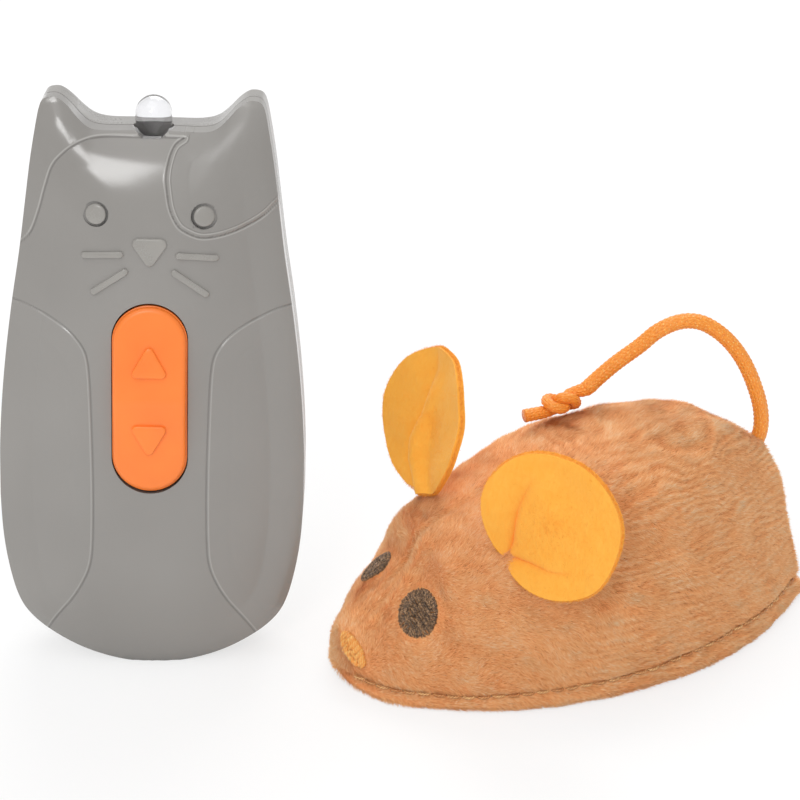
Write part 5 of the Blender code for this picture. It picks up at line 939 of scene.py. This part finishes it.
finish_nodes(nickel, "rear_axle", "compound_gear_pin", "caster_pin", "drive_motor", "mouse_contact_plus",
             "mouse_contact_minus", "mouse_contact_spring", "button_cell_1", "button_cell_2", "button_cell_3",
             "handset_contact_plus", "handset_contact_minus", "handset_contact_bridge", "handset_spring_low",
             "handset_spring_high")
finish_nodes(zinc, "chassis_screw_front_near", "chassis_screw_front_far", "chassis_screw_rear_near",
             "chassis_screw_rear_far", "mouse_door_screw", "case_screw_low_left", "case_screw_low_right",
             "case_screw_high_left", "case_screw_high_right", "handset_door_screw")
finish_nodes(jacket, "handset_cell_left", "handset_cell_right")
finish_nodes(board_mask, "mouse_circuit_board", "handset_circuit_board")
finish_nodes(key_rubber, "rubber_keypad")


# Handset case. Two ABS half shells shaped like a cat's head and back, the front one with a softened
# dome, moulded ears and fine stepped lines. The foot's flat lets it stand.
case_width, case_height = 54.6 * mm, 105.2 * mm
front_depth, front_side, front_round, softness = 10.5 * mm, 3.0 * mm, 20.0 * mm, 3.5 * mm
case_place = (Matrix.Translation(Vector((-47.546, 13.447, -1.185)) * mm) @ Matrix.Rotation(radians(-22.3), 4, "Z")
              @ Matrix.Rotation(radians(-9.0), 4, "X") @ Matrix.Rotation(radians(1.3), 4, "Y"))
outline_shares = np.array(((0, 0), (.242, .0085), (.471, .0277), (.672, .0572), (.805, .0862), (.882, .1170),
                           (.939, .1666), (.981, .2309), (.999, .3055), (1, .3751), (.987, .4547), (.958, .5442),
                           (.911, .6440), (.856, .7385), (.815, .8234), (.781, .8933), (.747, .9478), (.722, .9821),
                           (.697, .9960), (.652, 1), (.603, .9985), (.539, .9860), (.470, .9660), (.400, .9515),
                           (.311, .9470), (.151, .9475), (0, .9480)))
half_outline = smooth_run(np.c_[outline_shares * (case_width / 2, case_height), np.zeros(27)], 0.7 * mm)[:, :2]
half_outline[0, 0] = half_outline[-1, 0] = 0.0
outline = np.concatenate([half_outline, half_outline[-2:0:-1] * (-1, 1)])
widest = int(np.argmax(half_outline[:, 0]))


def within(points, ring):
    """Whether points lie inside a closed outline."""
    x, z = points[:, 0:1], points[:, 1:2]
    ahead = np.roll(ring, -1, 0)
    crosses = (ring[None, :, 1] > z) != (ahead[None, :, 1] > z)
    with np.errstate(divide="ignore", invalid="ignore"):
        hit = x < ring[:, 0] + (ahead - ring)[:, 0] * (z - ring[:, 1]) / (ahead - ring)[:, 1]
    return (crosses & hit).sum(1) % 2 == 1


def inside_by(points):
    """How far points are inside the outline, negative outside."""
    starts, sides = outline, np.roll(outline, -1, 0) - outline
    best = np.empty(len(points))
    for k in range(0, len(points), 4000):
        part = points[k:k + 4000]
        to = part[:, None] - starts[None]
        share = np.clip(np.einsum("ijk,jk->ij", to, sides) / np.einsum("jk,jk->j", sides, sides), 0, 1)
        gap = np.linalg.norm(to - share[..., None] * sides, axis=2).min(1)
        best[k:k + 4000] = np.where(within(part, outline), gap, -gap)
    return best


field_x = np.linspace(-34 * mm, 34 * mm, 171)
field_z = np.linspace(-6 * mm, 112 * mm, 296)
mesh_x, mesh_z = np.meshgrid(field_x, field_z, indexing="ij")
edge_field = inside_by(np.c_[mesh_x.ravel(), mesh_z.ravel()]).reshape(mesh_x.shape)


def read_field(field, x, z):
    """The field between its samples."""
    a = np.clip((x - field_x[0]) / (field_x[1] - field_x[0]), 0, len(field_x) - 1.001)
    b = np.clip((z - field_z[0]) / (field_z[1] - field_z[0]), 0, len(field_z) - 1.001)
    i, j = a.astype(int), b.astype(int)
    a, b = a - i, b - j
    return (field[i, j] * (1 - a) * (1 - b) + field[i + 1, j] * a * (1 - b)
            + field[i, j + 1] * (1 - a) * b + field[i + 1, j + 1] * a * b)


mean_field = edge_field.copy()
for k in range(8):
    mean_field += read_field(edge_field, mesh_x + softness * cos(pi * k / 4), mesh_z + softness * sin(pi * k / 4))
mean_field /= 9
for _ in range(3):
    mean_field[1:-1, 1:-1] = (mean_field[1:-1, 1:-1] * 4 + mean_field[:-2, 1:-1] + mean_field[2:, 1:-1]
                              + mean_field[1:-1, :-2] + mean_field[1:-1, 2:]) / 8


def domed(x, z, side, full, round_width):
    """Depth of a half shell's outer face: a plain side, rounded over to the full depth."""
    share = read_field(mean_field, np.asarray(x, float), np.asarray(z, float)) / round_width
    share = np.clip((share + np.sqrt(share * share + 0.0016)) / 2, 0, 1)
    return side + (full - side) * np.sqrt(1 - (1 - share) ** 2)


def face_depth(x, z):
    """The front is crowned from side to side too."""
    share = np.clip(read_field(mean_field, np.asarray(x, float), np.asarray(z, float)) / (6 * mm), 0, 1)
    return domed(x, z, front_side, front_depth, front_round) - share * np.asarray(x, float) ** 2 / (240 * mm)


# the face's engraved lines, as shares of the half width and the height
brow_line = ((-.92, .735), (-.834, .755), (-.772, .7735), (-.716, .8134), (-.674, .8537), (-.628, .8887),
             (-.563, .9096), (-.481, .926), (-.378, .9355), (-.256, .938), (-.110, .938), (.05, .9385), (.207, .938))
patch_line = ((.207, .938), (.151, .9278), (.116, .9054), (.100, .879), (.108, .8552), (.129, .8262),
              (.174, .8016), (.225, .790), (.320, .7799), (.428, .7811), (.541, .7885), (.635, .7987), (.728, .8129),
              (.790, .8275), (.90, .852))
flank_line = ((1.02, .662), (.908, .6527), (.820, .6486), (.725, .6384), (.626, .6265), (.538, .6118),
              (.465, .5928), (.421, .5719), (.402, .540), (.391, .480), (.381, .380), (.379, .304), (.383, .247),
              (.395, .207), (.432, .1758), (.513, .1359), (.652, .0846), (.72, .050))


def signed_from(points, line, side=1):
    """Distance from a line of the face, positive on its left."""
    line = np.c_[np.array(line) * (side * case_width / 2, case_height), np.zeros(len(line))]
    run = smooth_run(line, 0.5 * mm)[:, :2]
    best = np.full(len(points), 1.0)
    sign = np.ones(len(points))
    for a, b in zip(run[:-1], run[1:]):
        way = b - a
        share = np.clip(((points - a) @ way) / (way @ way), 0, 1)
        to = points - a - share[:, None] * way
        gap = np.linalg.norm(to, axis=1)
        near = gap < best
        best[near] = gap[near]
        sign[near] = np.sign(way[0] * to[:, 1] - way[1] * to[:, 0])[near]
    return best * sign


def places_of(thing):
    """The places of a mesh's points."""
    places = np.empty(len(thing.data.vertices) * 3, np.float32)
    thing.data.vertices.foreach_get("co", places)
    return places.reshape(-1, 3)


def set_places(thing, places):
    """Moves a mesh's points."""
    thing.data.vertices.foreach_set("co", places.astype(np.float32).ravel())
    thing.data.update()


def face_outwards(thing):
    """Turns the faces of a closed mesh outwards."""
    choose(thing)
    bpy.ops.object.mode_set(mode="EDIT")
    bpy.ops.mesh.select_all(action="SELECT")
    bpy.ops.mesh.normals_make_consistent(inside=False)
    bpy.ops.object.mode_set(mode="OBJECT")


def tell_lines(shell, flat):
    """Stores how far each point of the front is from the engraved lines, and which are in the patch."""
    half_size = (case_width / 2, case_height)
    gaps = {"brow": signed_from(flat, brow_line), "patch": signed_from(flat, patch_line),
            "flank": np.where(flat[:, 0] > 0, signed_from(flat, flank_line), -signed_from(flat, flank_line, -1))}
    for line, gap in gaps.items():
        tell(shell, line, gap)
        tell(shell, line + "_reach", np.abs(gap))
    start_gap = np.linalg.norm(flat - np.array(patch_line[0]) * half_size, axis=1)
    tell(shell, "patch_fade", np.clip((start_gap - 0.4 * mm) / (4 * mm), 0, 1))
    ring = np.array(patch_line + ((1.2, .87), (1.2, 1.2), (.207, 1.2))) * half_size
    tell(shell, "in_patch", within(flat, ring).astype(float))


def half_shell(name, depth_at, toward, wall):
    """Half of the case as a shell: a grid over the outline, its sides drawn back to the parting line."""
    clear_choice()
    bpy.ops.mesh.primitive_grid_add(x_subdivisions=170, y_subdivisions=230, size=2)
    shell = bpy.context.object
    shell.name = name
    unit = places_of(shell)
    low_chain, high_chain = half_outline[:widest + 1], half_outline[widest:][::-1]
    x = case_width / 2 * 0.9994 * np.sin(unit[:, 0] * pi / 2)
    bottom = np.interp(np.abs(x), low_chain[:, 0], low_chain[:, 1])
    top = np.interp(np.abs(x), high_chain[:, 0], high_chain[:, 1])
    t = (unit[:, 1] + 1) / 2
    t = 0.55 * t + 0.45 * (1 - np.cos(pi * t)) / 2
    z = bottom + (top - bottom) * t
    set_places(shell, np.stack([x, toward * depth_at(x, z), z], 1))
    if toward < 0:
        tell_lines(shell, np.stack([x, z], 1))
    bpy.ops.object.mode_set(mode="EDIT")
    bpy.ops.mesh.select_all(action="SELECT")
    bpy.ops.mesh.region_to_loop()
    bpy.ops.mesh.extrude_edges_move(TRANSFORM_OT_translate={"value": (0, -toward * 0.0001, 0)})
    bpy.ops.object.mode_set(mode="OBJECT")
    for vertex in shell.data.vertices:
        if vertex.select:
            vertex.co.y = toward * 0.15 * mm
    face_outwards(shell)
    if sum(p.normal.y for p in shell.data.polygons) * toward < 0:
        shell.data.flip_normals()
    thick = shell.modifiers.new("case_wall", "SOLIDIFY")
    thick.thickness, thick.offset = wall, -1.0
    bpy.ops.object.modifier_apply(modifier="case_wall")
    return shell


def closed_part(name, spots, faces):
    """A closed mesh from lists of places and faces."""
    mesh = bpy.data.meshes.new(name)
    mesh.from_pydata(spots, [], faces)
    thing = bpy.data.objects.new(name, mesh)
    stage.collection.objects.link(thing)
    face_outwards(thing)
    return thing


def prism_tool(name, outline_xz, y_low, y_high):
    """A cutter: an outline on the face, drawn out along the case's depth."""
    n = len(outline_xz)
    spots = [(a, y_low, b) for a, b in outline_xz] + [(a, y_high, b) for a, b in outline_xz]
    ends = [list(range(n)), list(range(2 * n - 1, n - 1, -1))]
    return closed_part(name, spots, ends + [[k, k + n, (k + 1) % n + n, (k + 1) % n] for k in range(n)])


def led_bore():
    """A cutter for the diode's round bore."""
    clear_choice()
    bpy.ops.mesh.primitive_cylinder_add(vertices=64, radius=3.55 * mm, depth=14 * mm, location=(0, 0, 102.5 * mm))
    bpy.ops.object.transform_apply(location=True)
    return bpy.context.object


def cut_away(target, *tools):
    """Cuts each tool out of the target."""
    for tool in tools:
        bite = target.modifiers.new("bite", "BOOLEAN")
        bite.operation, bite.solver, bite.object = "DIFFERENCE", "MANIFOLD", tool
        choose(target)
        bpy.ops.object.modifier_apply(modifier="bite")
        bpy.data.objects.remove(tool)


def round_outline(radius, centre, steps=64):
    """Points round a circle."""
    turns = [2 * pi * k / steps for k in range(steps)]
    return [(centre[0] + radius * cos(turn), centre[1] + radius * sin(turn)) for turn in turns]


def slot_outline(width, length, centre, steps=32):
    """Points round an upright slot."""
    radius, rise = width / 2, (length - width) / 2
    turns = [pi * k / steps for k in range(steps + 1)]
    top = [(centre[0] + radius * cos(turn), centre[1] + rise + radius * sin(turn)) for turn in turns]
    return top + [(2 * centre[0] - a, 2 * centre[1] - b) for a, b in top]


front = half_shell("front_case", face_depth, -1, 1.9 * mm)
rocker_width, rocker_length, rocker_centre = 12.9 * mm, 33.9 * mm, 52.5 * mm
rocker_slot = slot_outline(rocker_width + 0.6 * mm, rocker_length + 1.3 * mm, (0, rocker_centre))
opening = prism_tool("rocker_opening", rocker_slot, -20 * mm, 6 * mm)
eye_places = {"left": (-9.45 * mm, 85.8 * mm), "right": (9.45 * mm, 85.8 * mm)}
pockets = [prism_tool("eye_pocket", round_outline(2.25 * mm, spot), -20 * mm, -float(face_depth(*spot)) + 0.45 * mm)
           for spot in eye_places.values()]
notch_foot, notch_half = 98.5 * mm, 1.6 * mm
flare = case_height - notch_foot
notch = prism_tool("led_notch", [(-notch_half, notch_foot), (notch_half, notch_foot),
                                 (notch_half + flare, case_height), (-notch_half - flare, case_height)],
                   -20 * mm, -1.6 * mm)
cut_away(front, opening, *pockets, notch, led_bore())


def seated(shell):
    """Puts a shell in its place, its foot cut flat by the floor, with its shading smoothed."""
    shell.data.transform(case_place)
    spots = places_of(shell)
    spots[:, 2] = np.maximum(spots[:, 2], 0.0)
    set_places(shell, spots)
    choose(shell)
    bpy.ops.object.shade_smooth_by_angle(angle=radians(34))


seated(front)
case_grey = Finish("case_grey_abs", Roughness=0.25)
case_flow = case_grey.grain(18 * mm, 1, 0.4)
case_fine = case_grey.grain(0.20 * mm, 2, 0.6)
patch = case_grey.told("patch"), case_grey.told("patch_reach")
brow = case_grey.told("brow"), case_grey.told("brow_reach")
flank = case_grey.told("flank"), case_grey.told("flank_reach")
in_patch = case_grey.told("in_patch")


def line_at(line, centre, half_width):
    """1 on a line beside an engraved one, falling to 0 at its sides."""
    gap, reach = line
    far = abs(centre) + half_width
    return (case_grey.clamp(abs(gap - centre), 0.0, half_width, 1.0, 0.0)
            * case_grey.clamp(reach, far + 0.03 * mm, far + 0.15 * mm, 1.0, 0.0))


def step_at(line, low, high, end):
    """A step up across a line, that sinks away again behind it."""
    gap, reach = line
    step = case_grey.clamp(gap, low, high) - case_grey.clamp(gap, high, end)
    return step * case_grey.clamp(reach, end - 0.6 * mm, end - 0.1 * mm, 1.0, 0.0)


patch_step = step_at(patch, 0.05 * mm, 0.80 * mm, 4.2 * mm) * case_grey.told("patch_fade")
flank_step = step_at(flank, -0.30 * mm, 0.10 * mm, 4.2 * mm)
grooves = (line_at(patch, 0.0, 0.20 * mm) + line_at(patch, 0.86 * mm, 0.16 * mm) * 0.6
           + line_at(brow, 0.0, 0.22 * mm) + line_at(flank, -0.32 * mm, 0.22 * mm) * 0.8)
lips = (line_at(patch, -0.32 * mm, 0.2 * mm) * 0.8 + line_at(patch, 0.62 * mm, 0.2 * mm)
        + line_at(brow, 0.36 * mm, 0.2 * mm) + line_at(flank, 0.10 * mm, 0.22 * mm) * 0.7)
case_lines = patch_step * (0.20 * mm) + flank_step * (0.14 * mm) - grooves * (0.09 * mm) + lips * (0.035 * mm)
spark = in_patch * 0.012 + 0.002
case_grey.feed("Normal", case_grey.relief(case_lines + case_fine * spark * mm, 1.0, 1.0))
case_plain = case_grey.blend(case_grey.clamp(case_flow, 0.3, 0.7), seen(141, 138, 134), seen(145, 142, 138))
# painted shade: the colour darkens in the engraved grooves
case_groove_shade = case_grey.blend(case_grey.clamp(grooves * 0.62), case_plain, seen(98, 95, 92))
# painted highlight: a pale line is painted on the lips beside the grooves
case_grey.feed("Base Color", case_grey.blend(case_grey.clamp(lips * 0.42), case_groove_shade, seen(204, 202, 198)))
case_grey.feed("Roughness", case_grey.clamp(case_flow * 0.15 + in_patch, 0.0, 1.2, 0.16, 0.38))
front.data.materials.clear()
front.data.materials.append(case_grey.material)
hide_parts("front_shell")
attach(front, "handset_case")


# Back half of the case. A grey ABS shell on the same outline, with deeper sides, a bay for two cells
# behind a door, and four wells whose screws hold it to the front.
shell_grey = moulded("case_grey_back", seen(145, 142, 138), 0.27, 0.22 * mm, 0.006 * mm)
bay_half, bay_low, bay_high, bay_floor, door_seat = 11.3 * mm, 19.5 * mm, 68.5 * mm, -0.1 * mm, 10.7 * mm
well_places = [(side * x * mm, z * mm) for x, z in ((18.3, 31.0), (16.4, 84.0)) for side in (-1, 1)]


def back_depth(x, z):
    """Depth of the back half's outer face."""
    return domed(x, z, 5.0 * mm, 12.5 * mm, 10.0 * mm)


back_case = half_shell("back_case", back_depth, 1, 2.6 * mm)
door_corners = [(13.6 * mm, 74.8 * mm), (-13.6 * mm, 74.8 * mm), (-13.6 * mm, 15.2 * mm), (13.6 * mm, 15.2 * mm)]


def rounded_outline(corners, radius, steps=10):
    """Corners of an outline rounded to a radius."""
    result = []
    for k, corner in enumerate(corners):
        corner = Vector(corner)
        before = (Vector(corners[k - 1]) - corner).normalized()
        after = (Vector(corners[(k + 1) % len(corners)]) - corner).normalized()
        half = before.angle(after) / 2
        middle = (before + after).normalized()
        centre = corner + middle * (radius / sin(half))
        start = corner + before * (radius / np.tan(half)) - centre
        end = corner + after * (radius / np.tan(half)) - centre
        turn = start.angle_signed(end)
        for j in range(steps + 1):
            result.append(tuple(centre + Matrix.Rotation(-turn * j / steps, 2) @ start))
    return result


seat = prism_tool("door_seat", rounded_outline(door_corners, 3.3 * mm), door_seat, 20 * mm)
bay = prism_tool("bay_mouth", [(bay_half, bay_low), (bay_half, bay_high), (-bay_half, bay_high),
                               (-bay_half, bay_low)], 5 * mm, 20 * mm)
well_floor, well_foot, well_radius, well_outer, screw_hole = 8.4 * mm, 6.8 * mm, 2.28 * mm, 2.97 * mm, 1.3 * mm
wells = [prism_tool("screw_well", round_outline(well_radius, spot, 48), well_floor, 20 * mm) for spot in well_places]
cut_away(back_case, seat, bay, *wells, led_bore())
tub_wall, tub_mouth = 1.3 * mm, door_seat - 0.5 * mm
tub_levels = ((tub_wall, tub_mouth), (tub_wall, bay_floor - tub_wall), (0, tub_mouth), (0, bay_floor))
tub_spots = [(a * (bay_half + w), y, (bay_low - w) if b < 0 else (bay_high + w))
             for w, y in tub_levels for a, b in ((-1, -1), (1, -1), (1, 1), (-1, 1))]
tub_faces = [[4, 5, 6, 7], [12, 13, 14, 15]]
for k in range(4):
    n = (k + 1) % 4
    tub_faces += [[k, n, 4 + n, 4 + k], [8 + k, 8 + n, 12 + n, 12 + k], [k, n, 8 + n, 8 + k]]
inner_parts = [closed_part("battery_tub", tub_spots, tub_faces)]
for spot in well_places:
    top = float(back_depth(*spot)) - 1.0 * mm
    lathe = ((well_outer, well_foot), (well_outer, top), (well_radius, top), (well_radius, well_floor),
             (screw_hole, well_floor), (screw_hole, well_foot))
    rings = [[(a, y, b) for a, b in round_outline(radius, spot, 48)] for radius, y in lathe]
    faces = ring_faces(len(lathe) + 1, 48) % (len(lathe) * 48)
    inner_parts.append(closed_part("screw_well_wall", sum(rings, []), faces.tolist()))
choose(back_case)
for part in inner_parts:
    part.select_set(True)
bpy.ops.object.join()
seated(back_case)
back_case.data.materials.clear()
back_case.data.materials.append(shell_grey.material)
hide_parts("back_shell")
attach(back_case, "handset_case")
finish_nodes(shell_grey, "handset_battery_door")


# Moulded face. Eyes, nose and whiskers in the same grey ABS as the case. They stand up to half
# a millimetre proud of the front, with rounded edges.
def raised_pad(name, outline_xz, levels, shares, bulge, depth_at, finish):
    """A low pad on a face: rings at each level's lift and inset, then rings that close on its middle."""
    outline_xz = np.array(outline_xz)
    centre = outline_xz.mean(0)
    inwards = (centre - outline_xz) / np.linalg.norm(centre - outline_xz, axis=1, keepdims=True)
    rows = [(outline_xz + inwards * inset, lift) for lift, inset in levels]
    edge, proud = rows[-1]
    rows += [(centre + (edge - centre) * share, proud + bulge * (1 - share)) for share in shares]
    rows.append((centre[None], proud + bulge))
    spots = np.concatenate([np.c_[flat[:, 0], -(depth_at(flat[:, 0], flat[:, 1]) + lift), flat[:, 1]]
                            for flat, lift in rows])
    n = len(outline_xz)
    k = np.arange(n)
    last = len(spots) - 1 - n
    middle_fan = np.stack([last + k, last + (k + 1) % n, np.full(n, last + n)], 1)
    thing = mesh_of(name, [(case_place @ Vector(p))[:] for p in spots], [ring_faces(len(rows) - 1, n), middle_fan])
    face_outwards(thing)
    bpy.ops.object.shade_smooth_by_angle(angle=radians(50))
    thing.data.materials.append(finish.material)
    return thing


def face_pad(name, outline_xz, proud, edge):
    """A pad that follows the dome, its edge rounded over."""
    levels = ((-0.9 * mm, 0.0), (proud - edge, 0.0), (proud - edge * 0.5, edge * 0.14),
              (proud - edge * 0.14, edge * 0.5), (proud, edge))
    pad = raised_pad(name, outline_xz, levels, (0.75, 0.5, 0.25), 0.03 * mm, face_depth, pad_grey)
    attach(pad, "handset_case")


def bar_outline(start, end, width, steps=10):
    """Points round a bar with round ends."""
    start, end = Vector(start), Vector(end)
    way = (end - start).normalized() * (width / 2)
    result = []
    for centre, flip in ((end, 1), (start, -1)):
        for j in range(steps + 1):
            result.append(tuple(centre + Matrix.Rotation(-pi / 2 + pi * j / steps, 2) @ (way * flip)))
    return result


pad_grey = moulded("face_pad_grey", seen(151, 148, 143), 0.26, 0.22 * mm, 0.005 * mm)
for side, word in ((-1, "left"), (1, "right")):
    face_pad(f"moulded_eye_{word}", round_outline(1.82 * mm, eye_places[word]), 0.26 * mm, 0.35 * mm)
    for whisker, start, end in (("upper", (5.1, 78.85), (11.5, 78.4)), ("lower", (4.3, 75.8), (9.9, 71.9))):
        bar = bar_outline((side * start[0] * mm, start[1] * mm), (side * end[0] * mm, end[1] * mm), 1.15 * mm)
        face_pad(f"{whisker}_whisker_{word}", bar, 0.46 * mm, 0.34 * mm)
nose_half, nose_top, nose_foot = 3.7 * mm, 81.7 * mm, 76.1 * mm
nose_outline = []
for a, b in rounded_outline([(nose_half, nose_top), (-nose_half, nose_top), (0.0, nose_foot)], 0.9 * mm):
    swollen = a * (1 + 0.05 * sin(pi * (nose_top - b) / (nose_top - nose_foot)))
    arch = 0.25 * mm * max(0, 1 - (a / nose_half) ** 2) * (b > 80.9 * mm)
    nose_outline.append((swollen, b + arch))
face_pad("moulded_nose", nose_outline, 0.45 * mm, 0.32 * mm)


# Rocker. One orange ABS moulding with a raised arrow at each end. It tips about pins at its middle,
# its rim under the edge of the opening.
orange_plastic = moulded("orange_abs", seen(253, 131, 50), 0.34, 0.22 * mm, 0.006 * mm)
clear_choice()
bpy.ops.mesh.primitive_grid_add(x_subdivisions=70, y_subdivisions=180, size=2)
rocker = bpy.context.object
rocker.name = "rocker_cap"
unit = places_of(rocker)
radius, half = rocker_width / 2, rocker_length / 2
rocker_crest, rocker_fall, rocker_edge = 12.4 * mm, 1.4 * mm, 0.9 * mm
v = half * np.sin(unit[:, 1] * pi / 2) * 0.9999
past_straight = np.maximum(np.abs(v) - (half - radius), 0)
s = np.sqrt(np.clip(radius ** 2 - past_straight ** 2, 0, None)) * np.sin(unit[:, 0] * pi / 2)
to_edge = np.clip(radius - np.hypot(s, past_straight), 0, radius)
crest = rocker_crest - rocker_fall * np.sqrt((v / half) ** 2 + 0.0002)
past_edge = np.clip(rocker_edge - to_edge, 0, None)
drop = rocker_edge - np.sqrt(np.clip(rocker_edge ** 2 - past_edge ** 2, 0, None))
set_places(rocker, np.stack([s, -(crest - drop), v + rocker_centre], 1))
bpy.ops.object.mode_set(mode="EDIT")
bpy.ops.mesh.select_all(action="SELECT")
bpy.ops.mesh.remove_doubles(threshold=0.02 * mm)
bpy.ops.mesh.region_to_loop()
for down, grow in ((-10.25 * mm, 0.0), (-10.15 * mm, 0.20 * mm), (-6.6 * mm, 0.20 * mm)):
    bpy.ops.mesh.extrude_edges_move(TRANSFORM_OT_translate={"value": (0, 0.0001, 0)})
    bpy.ops.object.mode_set(mode="OBJECT")
    for vertex in rocker.data.vertices:
        if vertex.select:
            x, z = vertex.co.x, vertex.co.z - rocker_centre
            over = max(0.0, abs(z) - (half - radius)) * (1 if z > 0 else -1)
            size = max(1e-9, sqrt(x * x + over * over))
            full = radius + grow
            vertex.co = (x / size * full, down, rocker_centre + z - over + over / size * full)
    bpy.ops.object.mode_set(mode="EDIT")
bpy.ops.mesh.edge_face_add()
face_outwards(rocker)
rocker.data.transform(case_place)
bpy.ops.object.shade_smooth_by_angle(angle=radians(40))
rocker.data.materials.append(orange_plastic.material)


def rocker_depth(x, z):
    """Depth of the rocker's face, which falls away from its middle."""
    return rocker_crest - rocker_fall * np.abs(z - rocker_centre) / half


arrow_levels = [(lift * mm, inset * mm) for lift, inset in ((-0.5, 0.0), (0.32, 0.0), (0.48, 0.06), (0.58, 0.18),
                                                            (0.62, 0.38))]
arrows = []
for side, word in ((1, "up"), (-1, "down")):
    middle = rocker_centre + side * 7.3 * mm
    corners = [(-side * 3.6 * mm, middle - side * 2.9 * mm), (side * 3.6 * mm, middle - side * 2.9 * mm),
               (0.0, middle + side * 3.4 * mm)]
    arrows.append(raised_pad("rocker_arrow_" + word, rounded_outline(corners, 0.8 * mm), arrow_levels, (0.66, 0.33),
                             0.0, rocker_depth, orange_plastic))
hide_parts("rocker_button")
for piece in (rocker, *arrows):
    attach(piece, "rocker")


# Infrared dome. A diode cast in water-clear epoxy, with a flange at its foot. It is pushed up through
# the bore between the ears and shows in the notch.
clear_choice()
bpy.ops.mesh.primitive_circle_add(vertices=8, radius=1 * mm)
dome = bpy.context.object
dome.name = "clear_dome"
bpy.ops.object.mode_set(mode="EDIT")
bpy.ops.mesh.select_all(action="SELECT")
bpy.ops.mesh.delete(type="VERT")
bpy.ops.object.mode_set(mode="OBJECT")
arc = [pi / 2 * k / 24 for k in range(25)]
profile = [(0.0, 93.7), (3.64, 93.7), (3.64, 94.7), (3.25, 94.75)]
profile += [(3.25 * cos(a), 101.85 + 3.25 * sin(a)) for a in arc]
shape = bmesh.new()
chain = [shape.verts.new((r * mm, 0, h * mm)) for r, h in profile]
for a, b in zip(chain[:-1], chain[1:]):
    shape.edges.new((a, b))
shape.to_mesh(dome.data)
shape.free()
bpy.ops.object.mode_set(mode="EDIT")
bpy.ops.mesh.select_all(action="SELECT")
bpy.ops.mesh.spin(steps=96, angle=2 * pi, center=(0, 0, 0), axis=(0, 0, 1))
bpy.ops.mesh.select_all(action="SELECT")
bpy.ops.mesh.remove_doubles(threshold=0.003 * mm)
face_outwards(dome)
dome.data.transform(case_place)
bpy.ops.object.shade_smooth_by_angle(angle=radians(40))
epoxy = Finish("clear_epoxy", Roughness=0.02, IOR=1.17, Transmission_Weight=1.0, Base_Color=(0.82, 0.82, 0.84, 1),
               Coat_Weight=1.0, Coat_IOR=1.5, Coat_Roughness=0.02)
haze = epoxy.grain(1.5 * mm, 2)
epoxy.feed("Roughness", epoxy.clamp(haze, 0.3, 0.8, 0.01, 0.05))
dome.data.materials.append(epoxy.material)
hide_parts("ir_led")
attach(dome, "handset_case")
